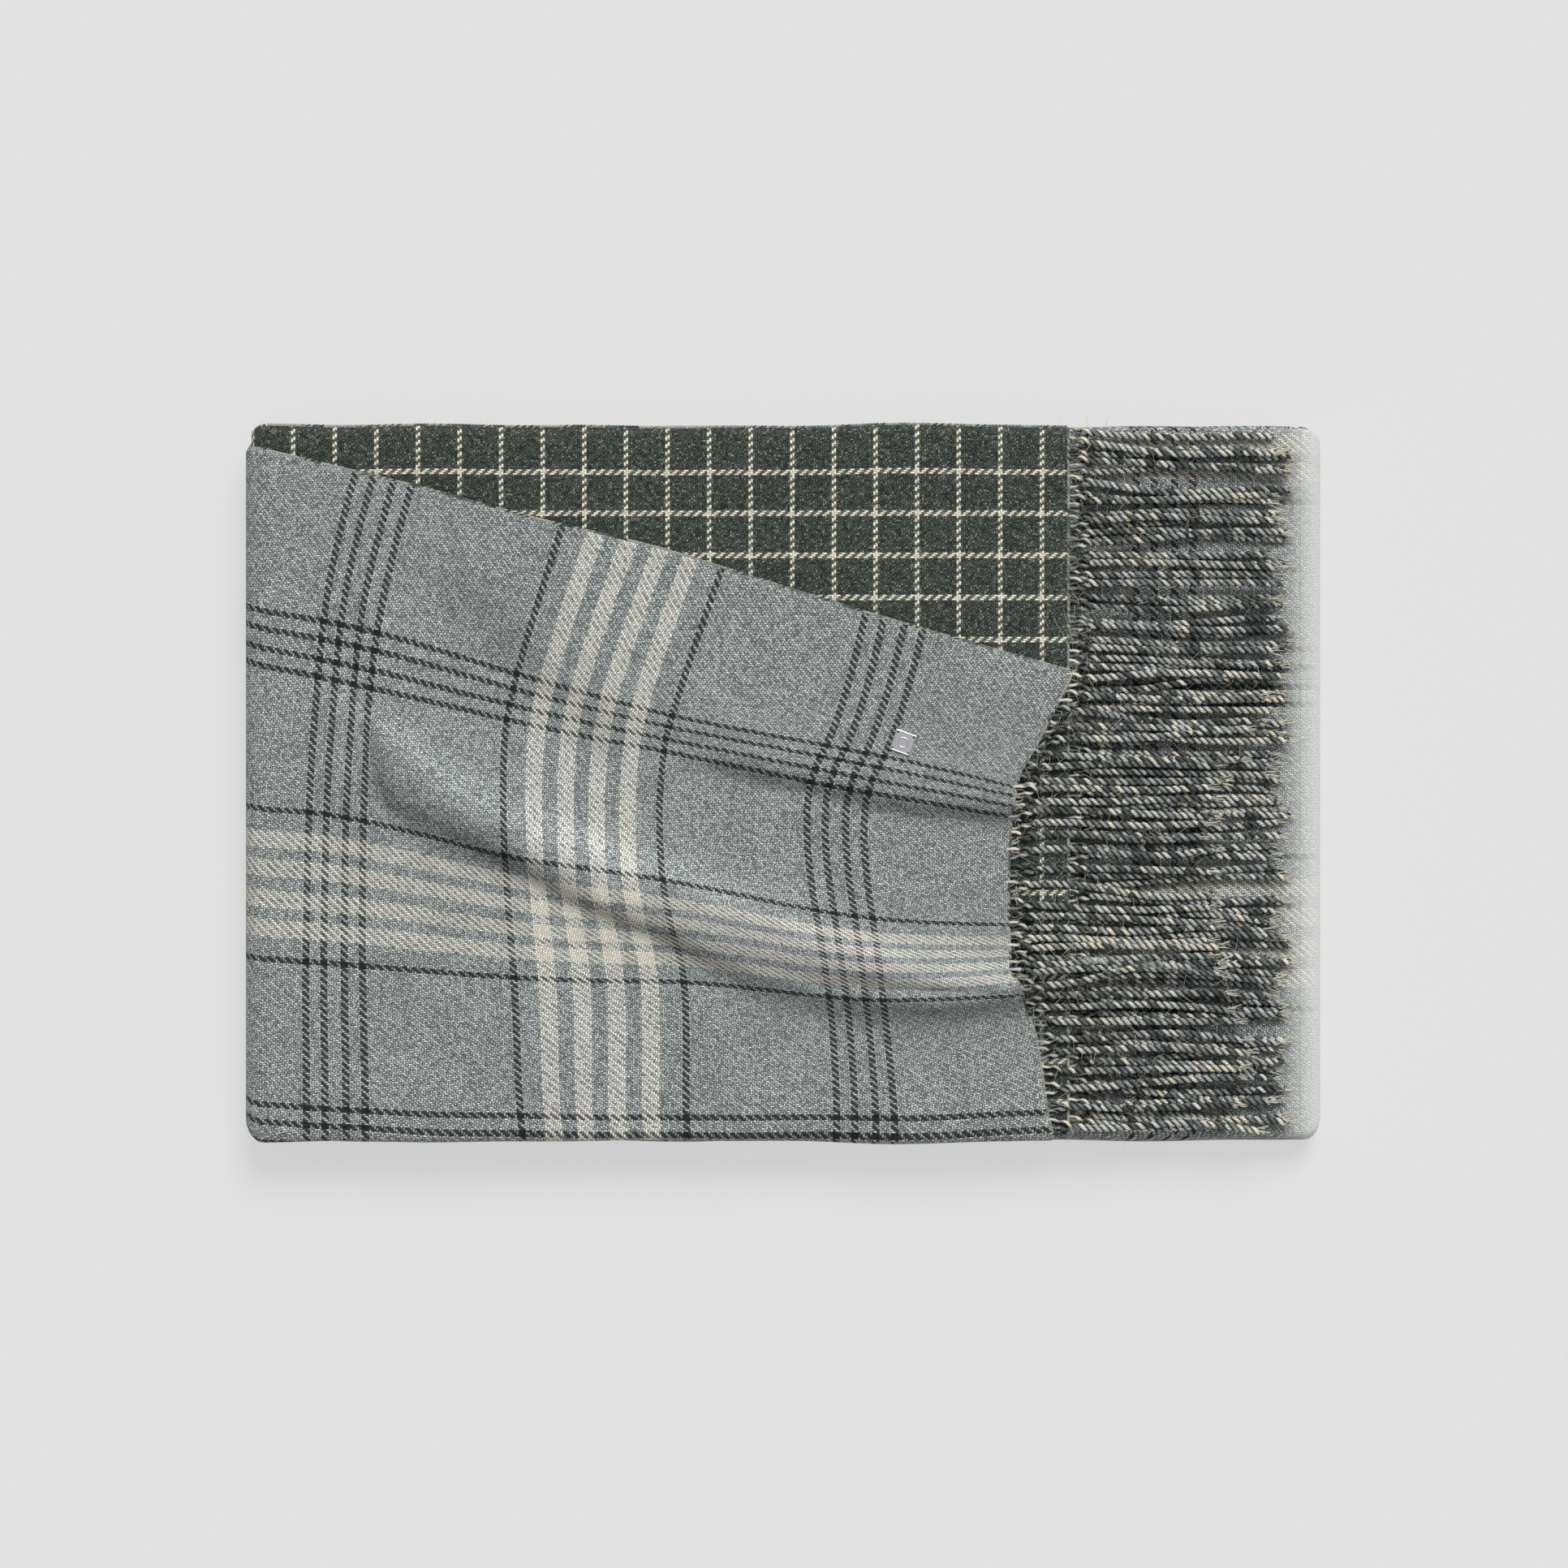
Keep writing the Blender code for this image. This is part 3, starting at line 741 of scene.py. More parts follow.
# %% Wrinkle shapes
# Each crest point is (x, y, height, width of the near side); then come the width of the far side
# and how abruptly the near side drops, all in mm. A high last number makes a rounded roll.
WRINKLES = (
    ([(-192, 62, 0, 9), (-184, 44, 3, 9), (-178, 27, 5.5, 11), (-165, 9, 7.5, 13),
      (-145, -6, 8.5, 13), (-125, -17, 8.8, 13), (-100, -31, 8.8, 13.5), (-78, -43, 8.8, 13),
      (-56, -50, 8.8, 14), (-28, -59, 8.5, 17), (0, -67, 8.0, 17), (28, -77, 7.8, 10),
      (65, -83, 7.0, 8), (100, -87, 6.0, 7), (112, -88, 5.4, 7)], 20, 3.8),
    ([(15, -90, 0, 6), (35, -92, 2.6, 6), (65, -94.5, 4.0, 6), (104, -91, 3.6, 6), (115, -91, 3.0, 6)], 6, 3.0),
    ([(-60, 24, 0, 7), (-31, 14, 3.0, 7), (17, 4, 4.2, 7), (53, -4, 4.6, 7), (95, -8, 4.0, 7),
      (106, -10, 3.0, 7)], 19, 3.0),
    ([(-205, 95, 0, 14), (-190, 80, 1.2, 14), (-170, 70, 1.0, 14), (-150, 60, 0, 14)], 18, 2.0),
    ([(60, 60, 0, 12), (90, 46, 1.6, 12), (120, 30, 2.2, 12)], 14, 2.0),
)
FAR_DROP = 1.7  # how abruptly the far side drops: nearly a bell


def wrinkle_lift(x, y):
    """How far the top leaf stands above flat, in mm, at plan positions in mm."""
    lift = np.zeros_like(x)
    for crest, far_width, drop in WRINKLES:
        crest = np.array(crest, float)
        along = np.clip(x, crest[0, 0], crest[-1, 0]).ravel()
        crest_y, height, near_width = (
            natural_spline(crest[:, 0], crest[:, k], along).reshape(x.shape) for k in (1, 2, 3)
        )
        slope = np.interp(x, crest[:, 0], np.gradient(crest[:, 1], crest[:, 0]))
        off = (y - crest_y) * np.cos(np.arctan(slope))
        far = np.exp(-np.abs(off / far_width) ** FAR_DROP)
        near = np.exp(-np.abs(off / near_width) ** drop)
        rise = np.clip(height, 0, None) * np.where(off > 0, far, near)
        lift = np.where(rise > lift, rise + 0.25 * lift, lift + 0.25 * rise)
    return lift


tried_x, tried_y = np.meshgrid(np.linspace(-200, 100, 400), np.linspace(60, -100, 400))
print("tallest wrinkle:", round(float(wrinkle_lift(tried_x, tried_y).max()), 1), "mm")

# %% [markdown]
# ## Painted highlight and shade on the wrinkles
# The crests get a painted highlight, where the cloth's colour is made paler, and the hollows a
# painted shade, where it is made darker. Light alone gives most of this; the paint adds the rest.

# %% Painted highlight and shade lines
# Each line is its points (x, y), its strength and its half width in mm.
# A strength above 0 is a painted highlight and one below 0 a painted shade.
PAINTED_SHADING_LINES = (
    ([(-214, 52), (-196, 38), (-177, 26), (-155, 7), (-130, -10), (-109, -20), (-85, -27), (-68, -34),
      (-43, -41), (-17, -54), (11, -65), (35, -72), (65, -80), (100, -85)], 0.29, 8.0),
    ([(-192, 12), (-188, 7), (-171, -11), (-155, -23), (-126, -35), (-109, -41), (-85, -54), (-62, -63),
      (-45, -72), (-17, -88), (11, -97), (41, -102), (65, -103), (100, -100)], -0.42, 7.0),
    ([(-40, 10), (-31, 9), (17, -1), (53, -10), (95, -14)], -0.30, 5.0),
    ([(-112, -39), (-99, -44), (-76, -53), (-45, -66), (-17, -79), (11, -89), (41, -94), (70, -96),
      (100, -93)], 0.24, 2.8),
    ([(-165, 100), (-142, 84), (-99, 44), (-80, 24)], -0.16, 15.0),
    ([(-232, 150), (-226, 60), (-222, 40)], 0.10, 40.0),
)
SHADING_STARTS, SHADING_ENDS = 20, 14  # mm over which a line comes in and goes out


# The share by which painted highlight makes the cloth paler and painted shade makes it darker.
def raised_nap(x, y):
    total = np.zeros_like(x)
    for line, strength, width in PAINTED_SHADING_LINES:
        line = np.array(line, float)
        off = y - np.interp(x, line[:, 0], line[:, 1])
        ends = smooth((x - line[0, 0]) / SHADING_STARTS) * smooth((line[-1, 0] + SHADING_ENDS - x) / SHADING_ENDS)
        total = total + strength * ends * np.exp(-(off / width) ** 2)
    return total


print("nap lines:", len(PAINTED_SHADING_LINES))


# %% [markdown]
# ## The woven edge
# The edge that carries the tassels is drawn separately, because the wrinkles make it step in and
# out. Cloth near the edge is shifted to meet that line, and the shift fades within 60 mm.

# %% Bowed woven edge
EDGE_FADE = 60  # mm of cloth over which the shift to the edge line fades
CALM_AT_CREASE, CALM_AT_TURN = 30, 14  # mm over which the wrinkles come in
BADGE_REACH = 11 * MM  # the cloth lies flat under the badge about this far
EDGE_LINE = np.array([
    (120.7, -160), (117, -149), (114.5, -131), (111.5, -112), (106.5, -98), (105.0, -90), (100.0, -84),
    (99.2, -60), (99.5, -38), (100.5, -12), (104, 4.5), (112, 18), (120.7, 35), (127.9, 49.8),
])


def middle_of(node):
    low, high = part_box(node)
    return np.array((low + high) / 2)


# The plate's own axes, from its four pins, and the spot of cloth under its middle
BADGE_HALF_THICKNESS = 0.45 * MM
PINS = [middle_of(f"badge_pin_{number}") for number in (1, 2, 3, 4)]
BADGE_RIGHT = (PINS[2] - PINS[0]) / np.linalg.norm(PINS[2] - PINS[0])
BADGE_AHEAD = (PINS[1] - PINS[0]) / np.linalg.norm(PINS[1] - PINS[0])
BADGE_UP = np.cross(BADGE_RIGHT, BADGE_AHEAD)
BADGE_SEAT = middle_of("badge_plate") - BADGE_HALF_THICKNESS * BADGE_UP


def top_leaf_grid(rows, columns):
    """Middle surface of the top leaf in metres and its weave coordinates."""
    plan = leaf_plan(rows, columns)
    x, y = plan[..., 0], plan[..., 1]
    fade = np.clip(1 - columns / EDGE_FADE, 0, 1)[None] ** 2
    edge_x = np.interp(y[:, -1:], EDGE_LINE[:, 1], EDGE_LINE[:, 0])
    x = x + (edge_x - x[:, -1:]) * fade
    lift = wrinkle_lift(x, y)
    ripple = 0.35 + 0.35 * slow_waves(x, y, 38, 11) + 0.22 * slow_waves(x, y, 15, 12)
    lift = lift + np.maximum(ripple, 0)
    from_crease, from_turn = x + CREASE_X / MM, y - TURN_Y / MM
    lift = lift * smooth(np.clip(from_crease / CALM_AT_CREASE, 0, 1) * np.clip(from_turn / CALM_AT_TURN, 0, 1))
    across, along = x * MM - BADGE_SEAT[0], y * MM - BADGE_SEAT[1]
    near_badge = np.exp(-((across / BADGE_REACH) ** 2 + (along / BADGE_REACH) ** 2) ** 2)
    plane = BADGE_SEAT[2] - (BADGE_UP[0] * across + BADGE_UP[1] * along) / BADGE_UP[2]
    swell = settle(np.array([[BADGE_SEAT]]))[0, 0, 2] / BADGE_SEAT[2]
    badge_lift = (plane / swell - TOP_FLAT - SHOWN_CLOTH / 2) / MM
    lift = lift * (1 - near_badge) + badge_lift * near_badge
    points = np.stack([x * MM, y * MM, TOP_FLAT + lift * MM], axis=-1)
    return points, plan[..., 2:] * MM


print("badge seat in mm:", (BADGE_SEAT / MM).round(1))

# %% [markdown]
# ## The three panels and two creases
# Panels are straight runs of the folded line. In a crease the same line swings half a turn
# about a bar between two panels, so leaf 1 is the innermost layer at one end of the blanket and
# the outermost at the other. The cloth length grows along each layer by its own arc, and the
# slip between layers is let out gradually along the hidden middle panel.

# %% Panels and creases
LEAF_SLIP = np.array([10.8, 23.4]) * MM  # how far the slipped leaf's cloth is ahead, across and along
# Painted light at the tasselled end: where it starts, how far it grows and its greatest share.
RIGHT_LIGHT_FROM, RIGHT_LIGHT_RUN, RIGHT_LIGHT_MOST = 219.5 * MM, 18.5 * MM, 0.88
CREASE_REACH = 9.7 * MM  # from the crease's middle to its outmost layer
CORNER, CORNER_FROM, CORNER_RUN = 9 * MM, 125 * MM, 30 * MM
CREASE_STEPS = 28
BOTH_SQUARE = (True, True)


def along_left_crease(height):
    return (EDGE_X + CREASE_X) + math.pi * height


def rubbed(x):
    """How much painted light pales the cloth towards the tasselled end, from 0 to 1, by x in metres."""
    return RIGHT_LIGHT_MOST * np.clip((x - RIGHT_LIGHT_FROM) / RIGHT_LIGHT_RUN, 0, 1) ** 1.15


def panel_sheet(name, stations, xs, upside_down, base, weave_of):
    y, h = stations[:, 0], stations[:, 1]
    z = base - h if upside_down else base + h
    middle = points_of(xs[None], y[:, None], z[:, None])
    up = -stations[:, 3] if upside_down else stations[:, 3]
    towards = points_of(0.0 * xs[None], stations[:, 2][:, None], up[:, None])
    weave = weave_of(xs[None], stations)
    # Each point keeps its share of the painted light that pales the tasselled end.
    return sheet_from_grid(name, settle(middle), towards, weave, BOTH_SQUARE, rubbed_pale=rubbed(middle[..., 0]))


def middle_weave(x, stations):
    share = np.clip((x + CREASE_X) / CREASE_X, 0, 1)
    across = stations[:, 4][:, None] + LEAF_SLIP[0] * share
    along = along_left_crease(stations[:, 1])[:, None] + x + CREASE_X + LEAF_SLIP[1] * share
    return points_of(across, along)


def right_crease_weave(angle, stations):
    start = middle_weave(np.array([[CREASE_X]]), stations)
    radius = (PANEL - stations[:, 1])[:, None]
    along = start[..., 1] + (math.pi - angle) * radius
    return points_of(start[..., 0], along)


def bottom_weave(x, stations):
    start = right_crease_weave(np.array([[0.0]]), stations)
    return points_of(start[..., 0], start[..., 1] + CREASE_X - x)


def round_corners(points):
    """Pulls the ends of a crease in, so the folded corners are rounded on plan."""
    x, y = points[..., 0], points[..., 1]
    past = np.clip(np.abs(x) - (CREASE_X + CREASE_REACH - CORNER), 0, CORNER)
    pull = CORNER - np.sqrt(CORNER ** 2 - past ** 2)
    reach = np.clip((np.abs(y) - CORNER_FROM) / CORNER_RUN, 0, 1)
    return np.stack([x, y - np.sign(y) * pull * reach, points[..., 2]], axis=-1)


LEFT_END, RIGHT_END = -CREASE_X + JOIN, CREASE_X - JOIN
bottom_panel = panel_sheet(
    "woven_bottom_panel", plain_stations, np.linspace(-EDGE_X, RIGHT_END, 90), False, LOWER_Z - PANEL, bottom_weave,
)
middle_panel = panel_sheet(
    "woven_middle_panel", plain_stations, np.linspace(LEFT_END, RIGHT_END, 110), True, UPPER_Z, middle_weave,
)


def half_turn():
    return np.linspace(0, math.pi, CREASE_STEPS + 1)[None]


def right_crease_sheet(stations):
    angle = half_turn()
    radius = (PANEL - stations[:, 1])[:, None]
    y = stations[:, 0][:, None]
    sin, cos = np.sin(angle), np.cos(angle)
    middle = points_of(CREASE_X + radius * sin, y, LOWER_Z - radius * cos)
    up = stations[:, 3][:, None]
    towards = points_of(-up * sin, stations[:, 2][:, None], up * cos)
    weave = right_crease_weave(angle, stations)
    # Each point keeps its share of the painted light that pales the tasselled end.
    return sheet_from_grid("woven_right_crease", settle(round_corners(middle)), towards, weave, BOTH_SQUARE,
                           rubbed_pale=rubbed(middle[..., 0]))


right_crease = right_crease_sheet(plain_stations)

# %% [markdown]
# ## Top panel and left crease
# Both hold the top leaf, so they share its rows. The lower leaves start at the slipped leaf's
# turned edge and reach their own straight places within a few centimetres.

# %% Top panel
TOP_ROWS, TOP_COLUMNS = 150, 176
SLIP_FROM, SLIP_RUN = 20 * MM, 180 * MM  # cloth after leaf 1 over which its slip dies out
leaf_rows = np.linspace(0, LEAF_ROWS[-1], TOP_ROWS + 1)
leaf_columns = LEAF_COLUMNS[-1] * (1 - np.linspace(0, 1, TOP_COLUMNS + 1))
top_stations = width_stations(TOP_ROWS, 30, 10)


def lower_leaves(stations):
    """Stations after leaf 1, the cloth used since then, and how straight the leaves are again."""
    rest = stations[TOP_ROWS + 1:]
    used = (rest[:, 4] - stations[TOP_ROWS, 4])[:, None]
    return rest, used, smooth((used - SLIP_FROM) / SLIP_RUN)


def top_panel_sheet():
    leaf, weave = top_leaf_grid(leaf_rows, leaf_columns)
    leaf[:, 0, 0] = leaf[:, 0, 0] + JOIN
    rest, used, share = lower_leaves(top_stations)
    start_x = leaf[-1, :, 0][None]
    square_x = np.linspace(LEFT_END, EDGE_X, TOP_COLUMNS + 1)[None]
    x = start_x + (square_x - start_x) * share
    y, z = rest[:, 0][:, None], (UPPER_Z + rest[:, 1])[:, None]
    below = points_of(x, y, z)
    along = weave[-1, :, 1][None] * (1 - share) + (EDGE_X - square_x) * share
    across = weave[-1, :, 0][None] * (1 - share) + top_stations[TOP_ROWS, 4] * share + used
    below_weave = points_of(across, along)
    middle = np.concatenate([leaf, below])
    up = np.concatenate([np.ones(TOP_ROWS + 1), rest[:, 3]])[:, None]
    side = np.concatenate([np.zeros(TOP_ROWS + 1), rest[:, 2]])[:, None]
    towards = points_of(np.zeros((1, TOP_COLUMNS + 1)), side, up)
    weave = np.concatenate([weave, below_weave])
    is_leaf_1 = (np.arange(len(middle)) <= TOP_ROWS)[:, None]
    # Painted highlight and painted shade on the wrinkles, for leaf 1 only.
    nap = raised_nap(middle[..., 0] / MM, middle[..., 1] / MM) * is_leaf_1
    sheet = sheet_from_grid("woven_top_panel", settle(middle), towards, weave, (True, False), nap=nap)
    return sheet, leaf


top_panel, top_leaf = top_panel_sheet()

# %% [markdown]
# ## The left crease
# It joins the middle panel to the top panel. Its far end has to meet the slipped leaf's slanting
# rows, so each row's place and cloth pass evenly from the straight ones to the slipped ones.

# %% Left crease


def left_crease_sheet():
    angle = half_turn()
    sin, cos = np.sin(angle), np.cos(angle)
    leaf, weave = top_leaf_grid(leaf_rows, leaf_columns[:1])
    plain_y = top_stations[:TOP_ROWS + 1, 0][:, None]
    share = angle / math.pi
    rest, used, _ = lower_leaves(top_stations)
    y = np.concatenate([plain_y + (leaf[:, :1, 1] - plain_y) * share, rest[:, 0][:, None] + 0 * share])
    radius = top_stations[:, 1][:, None]
    middle = points_of(-CREASE_X - radius * sin, y, UPPER_Z - radius * cos)
    up = top_stations[:, 3][:, None]
    towards = points_of(-up * sin, top_stations[:, 2][:, None], -up * cos)
    plain_across = top_stations[:, 4][:, None]
    top_across = np.concatenate([weave[:, :1, 0], weave[-1:, :1, 0] + used])
    across = plain_across + (top_across - plain_across) * share
    top_along = np.concatenate([weave[:, :1, 1], np.full((len(rest), 1), EDGE_X + CREASE_X)])
    along = top_along + (math.pi - angle) * radius
    weave = points_of(across, along)
    return sheet_from_grid("woven_left_crease", settle(round_corners(middle)), towards, weave, BOTH_SQUARE)


left_crease = left_crease_sheet()

# %% [markdown]
# ## Tassels
# The warp ends are left long at both ends of the cloth. At its root a tassel is two loose
# groups of yarn; a little further out they are twisted round each other into a cord, and the
# cut tip opens into a small brush. A texture can't give the round shadows of twisted cords, so
# each strand is a real tube on a helix, and loose fibres are hair-thin tubes.

# %% Tube builder
WISP_DEPTH = 1.35  # 0 is deep in a groove and 1 fully in the light; above 1 the yarn is paler too


def tubes(paths, radii, sides):
    """Rings round many paths at once. Returns points, faces and (along, around) for each corner."""
    count, rings = paths.shape[:2]
    ahead = np.gradient(paths, axis=1)
    ahead /= np.linalg.norm(ahead, axis=2, keepdims=True) + 1e-12
    side = np.cross(ahead, np.array([0.0, 0.0, 1.0]))
    side /= np.linalg.norm(side, axis=2, keepdims=True) + 1e-9
    up = np.cross(side, ahead)
    turn = 2 * math.pi * np.arange(sides) / sides
    cos, sin = (part[None, None, :, None] for part in (np.cos(turn), np.sin(turn)))
    ring = cos * side[:, :, None] + sin * up[:, :, None]
    points = paths[:, :, None] + ring * radii[:, :, None, None]
    index = np.arange(count * rings * sides).reshape(count, rings, sides)
    beside = np.roll(index, -1, axis=2)
    quads = np.stack([index[:, :-1], beside[:, :-1], beside[:, 1:], index[:, 1:]], axis=-1).reshape(-1, 4)
    steps = np.linalg.norm(np.diff(paths, axis=1), axis=2)
    length = np.concatenate([np.zeros((count, 1)), np.cumsum(steps, axis=1)], axis=1)
    low, high = length[:, :-1, None], length[:, 1:, None]
    around = (np.arange(sides) / sides)[None, None]
    next_round = around + 1 / sides
    along4 = points_of(low, low, high, high + 0 * around)
    around4 = points_of(around + 0 * low, next_round, next_round, around)
    uv = np.stack([along4, around4], axis=-1).reshape(-1, 4, 2)
    caps = np.concatenate([index[:, 0, ::-1], index[:, -1]])
    return points.reshape(-1, 3), quads, uv, caps


def join_tubes(name, groups, material, depth):
    """Makes one object from several groups of tubes. Each group is (paths, radii, sides).

    depth says how far out of the shade the first points are; the rest are pale wisps."""
    points, faces, uvs, seeds, base, tube = [], [], [], [], 0, 0
    for paths, radii, sides in groups:
        spots, quads, uv, caps = tubes(paths, radii, sides)
        points.append(spots)
        faces += (quads + base).tolist() + (caps + base).tolist()
        uvs += [uv.reshape(-1, 2), np.zeros((caps.size, 2))]
        per_tube = paths.shape[1] * sides
        seeds.append(np.repeat(np.arange(tube, tube + len(paths)), per_tube))
        base, tube = base + len(spots), tube + len(paths)
    obj = add_mesh(name, np.concatenate(points), faces, np.concatenate(uvs), np.zeros(len(faces)), (material,))
    store_values(obj, "yarn_number", np.concatenate(seeds))
    full = np.full(base, WISP_DEPTH)
    full[:depth.size] = depth.ravel()
    store_values(obj, "depth", full)
    print(f"{name}: {len(faces)} faces")
    return obj


print("a wisp's depth is", WISP_DEPTH)

# %% [markdown]
# ## Tassel yarn
# Each strand is a thick, loosely spun yarn. Most are grey-green and some are cream, because the
# striped warp ends run out into the tassels, and each one's colour drifts along its length.
# Two different strands twisted together give the flecked look of the cords.

# %% Tassel yarn material
BEADS_PER_METRE = 160.0  # short lengths of one shade, where another fibre surfaces
YARN_SHADES = ((0.34, (90, 97, 93)), (0.54, (176, 183, 179)), (0.74, (240, 243, 237)), (0.86, (255, 246, 222)))


def make_tassel_yarn():
    made, tree, surface = start_material("tassel_yarn", 0.9, sheen=0.12)
    along, around = two_parts(tree, place_on_cloth(tree))
    ply = surface_value(tree, "yarn_number")
    drift_at = vector(tree, maths(tree, "MULTIPLY", along, 60.0), maths(tree, "MULTIPLY", ply, 7.31), 0.0)
    drift = maths(tree, "SUBTRACT", noise(tree, drift_at, 1.0, 1.0), 0.5)
    strand = random_per(tree, vector(tree, ply, 3.0, 5.0))
    bead_at = maths(tree, "FLOOR", maths(tree, "MULTIPLY", along, BEADS_PER_METRE))
    bead = random_per(tree, vector(tree, bead_at, ply, 2.0))
    wisp = maths(tree, "SUBTRACT", surface_value(tree, "depth"), 1.0, clamp=True)
    paleness = maths(tree, "MULTIPLY_ADD", strand, 0.26, 0.10)
    for part, weight in ((drift, 0.8), (bead, 0.62), (wisp, 0.8)):
        paleness = maths(tree, "ADD", paleness, maths(tree, "MULTIPLY", part, weight))
    ramp = tree.nodes.new("ShaderNodeValToRGB")
    stops = ramp.color_ramp.elements
    stops[0].color, stops[1].color = linear(48, 54, 50), linear(255, 247, 222)
    for position, colour in YARN_SHADES:
        stops.new(position).color = linear(*colour)
    tree.links.new(paleness, ramp.inputs[0])
    slant = maths(tree, "ADD", maths(tree, "MULTIPLY", around, 5.0), maths(tree, "MULTIPLY", along, -900.0))
    groove = maths(tree, "ABSOLUTE", maths(tree, "SINE", maths(tree, "MULTIPLY", slant, math.pi)))
    streak_at = vector(tree, maths(tree, "MULTIPLY", along, 200.0), maths(tree, "MULTIPLY", slant, 3.0), ply)
    streak = noise(tree, streak_at, 1.0, 2.0)
    # Painted shade: the colour darkens in the grooves of the twist, and by depth on a cord's shaded sides.
    height = maths(tree, "MULTIPLY", groove, maths(tree, "MULTIPLY_ADD", streak, 0.8, 0.6))
    in_light = maths(tree, "SUBTRACT", maths(tree, "MULTIPLY", surface_value(tree, "depth"), 1.9), 0.85, clamp=True)
    lightness = maths(tree, "MULTIPLY", maths(tree, "MULTIPLY_ADD", height, 0.55, 0.62),
                      maths(tree, "MULTIPLY_ADD", in_light, 0.95, 0.05))
    tree.links.new(shaded_by(tree, ramp.outputs[0], lightness), surface.inputs["Base Color"])
    add_bump(tree, surface, height, 0.6, 0.0004)
    return made


tassel_yarn = make_tassel_yarn()
print("tassel yarn:", len(tassel_yarn.node_tree.nodes), "nodes")

# %% [markdown]
# ## Tassel shapes
# A row has 34 cords. Each one leaves the cloth's edge, sinks to the level that it lies on, drifts
# aside a little and waves, all drawn from a seeded generator so that every run is the same.
# The two strands wind round that centre line, close together once they have merged.

# %% Tassel rows
TASSELS, STRANDS = 34, 2
TASSEL_LENGTH, LONG_TASSEL = 97 * MM, 101 * MM
STRAND_RADIUS, STRAND_ORBIT, LAY = 0.93 * MM, 0.88 * MM, 6.4 * MM
ROOT_DEPTH = 1 * MM  # a root starts this far inside the cloth's edge
ROUND = 6.28  # about one turn, in radians
WIDEST_Y = 157.5 * MM
LOWEST_STRAND, LOWEST_FIBRE = 1.1 * MM, 0.4 * MM
MERGE_FROM, MERGE_RUN, TWIST_FROM, OPEN_RUN = 2 * MM, 12 * MM, 4 * MM, 5 * MM
SINK_SHARE = 0.45  # of its length, by which a cord has sunk to its resting level
SPUN_UNEVEN = 1.4 * MM  # a strand swells and thins about this often
DRIFT, WAVE, LENGTHS, TURNS = 1.6 * MM, (0.3, 1.3), (0.90, 1.0), (0.5, 1.3)
FIBRE_RINGS, FIBRE_SIDES, TIP_SIDES = 6, 3, 4
FIBRE_LENGTH, FIBRE_RADIUS = (2.5, 8.0), (0.07, 0.16)  # least and most, in mm
TIP_LENGTH, TIP_RADIUS = (4.5, 8), (0.18, 0.34)


def tassel_paths(roots, heading, rest_z, seed, rings, spread, wander, reach):
    """Centre lines of the cords and of their strands, starting at the cloth's edge."""
    draw = np.random.default_rng(seed)
    count = len(roots)
    share = np.linspace(0, 1, rings)[None]
    length = reach * draw.uniform(*LENGTHS, (count, 1))
    drift = draw.normal(0, DRIFT * wander, (count, 1))
    drift = np.clip(roots[:, 1:2] + drift, -WIDEST_Y, WIDEST_Y) - roots[:, 1:2]
    wave = draw.uniform(*WAVE, (count, 1)) * MM * wander
    phase, turns = draw.uniform(0, ROUND, (count, 1)), draw.uniform(*TURNS, (count, 1))
    x = roots[:, :1] + heading * share * length
    waved = wave * (np.sin(ROUND * turns * share + phase) - np.sin(phase))
    y = roots[:, 1:2] + drift * smooth(share * 1.3) + waved
    level = rest_z + draw.uniform(-0.3, 0.3, (count, 1)) * MM
    z = level + (roots[:, 2:] - level) * (1 - smooth(share / SINK_SHARE))
    centre = np.stack([x, y, z], axis=-1)
    run = share * length
    merged = smooth((run - MERGE_FROM) / MERGE_RUN)
    opened = smooth((run - (length - OPEN_RUN)) / OPEN_RUN)
    spin = 2 * math.pi * np.clip(run - TWIST_FROM, 0, None) / LAY + draw.uniform(0, ROUND, (count, 1))
    strands = []
    for number in range(STRANDS):
        angle = spin + 2 * math.pi * number / STRANDS
        apart = spread * (1 - merged) * (1 if number % 2 == 0 else -1)
        orbit = STRAND_ORBIT * (0.55 + 0.45 * merged) * (1 + 0.5 * opened)
        aside, above = apart + orbit * np.cos(angle), orbit * np.sin(angle) * 0.9
        strands.append(centre + np.stack([0 * x, aside, above], axis=-1))
    swell = 1 + 0.06 * np.sin(run / SPUN_UNEVEN + phase)
    tip = 1 - 0.6 * smooth((share - 0.975) / 0.025)
    radius = STRAND_RADIUS * (0.72 + 0.28 * merged) * swell * tip
    for strand in strands:
        strand[..., 2] = np.maximum(strand[..., 2], LOWEST_STRAND)
    return centre, strands, np.broadcast_to(radius, x.shape)


def loose_fibres(centre, per_tassel, seed):
    """Hair-thin wisps that leave the cords, most of them near the roots and at the tips."""
    draw = np.random.default_rng(seed)
    count, rings = centre.shape[:2]
    total = count * per_tassel
    which = np.repeat(np.arange(count), per_tassel)
    where = draw.beta(0.55, 1.3, total)
    at = centre[which, np.minimum((where * (rings - 1)).astype(int), rings - 1)]
    heading = draw.normal(0, 1, (total, 3)) * np.array([1.2, 1.0, 0.25])
    heading /= np.linalg.norm(heading, axis=1, keepdims=True)
    curl = draw.normal(0, 1, (total, 3)) * np.array([1.0, 1.0, 0.2])
    t = np.linspace(0, 1, FIBRE_RINGS)[None, :, None]
    length = draw.uniform(*FIBRE_LENGTH, (total, 1, 1)) * MM
    paths = at[:, None] + heading[:, None] * t * length + curl[:, None] * (t ** 2) * length * 0.45
    paths[..., 2] = np.clip(paths[..., 2] + 0.8 * MM, LOWEST_FIBRE, at[:, None, 2] + 2.2 * MM)
    radius = draw.uniform(*FIBRE_RADIUS, (total, 1)) * MM * np.linspace(1, 0.4, FIBRE_RINGS)[None]
    return paths, radius


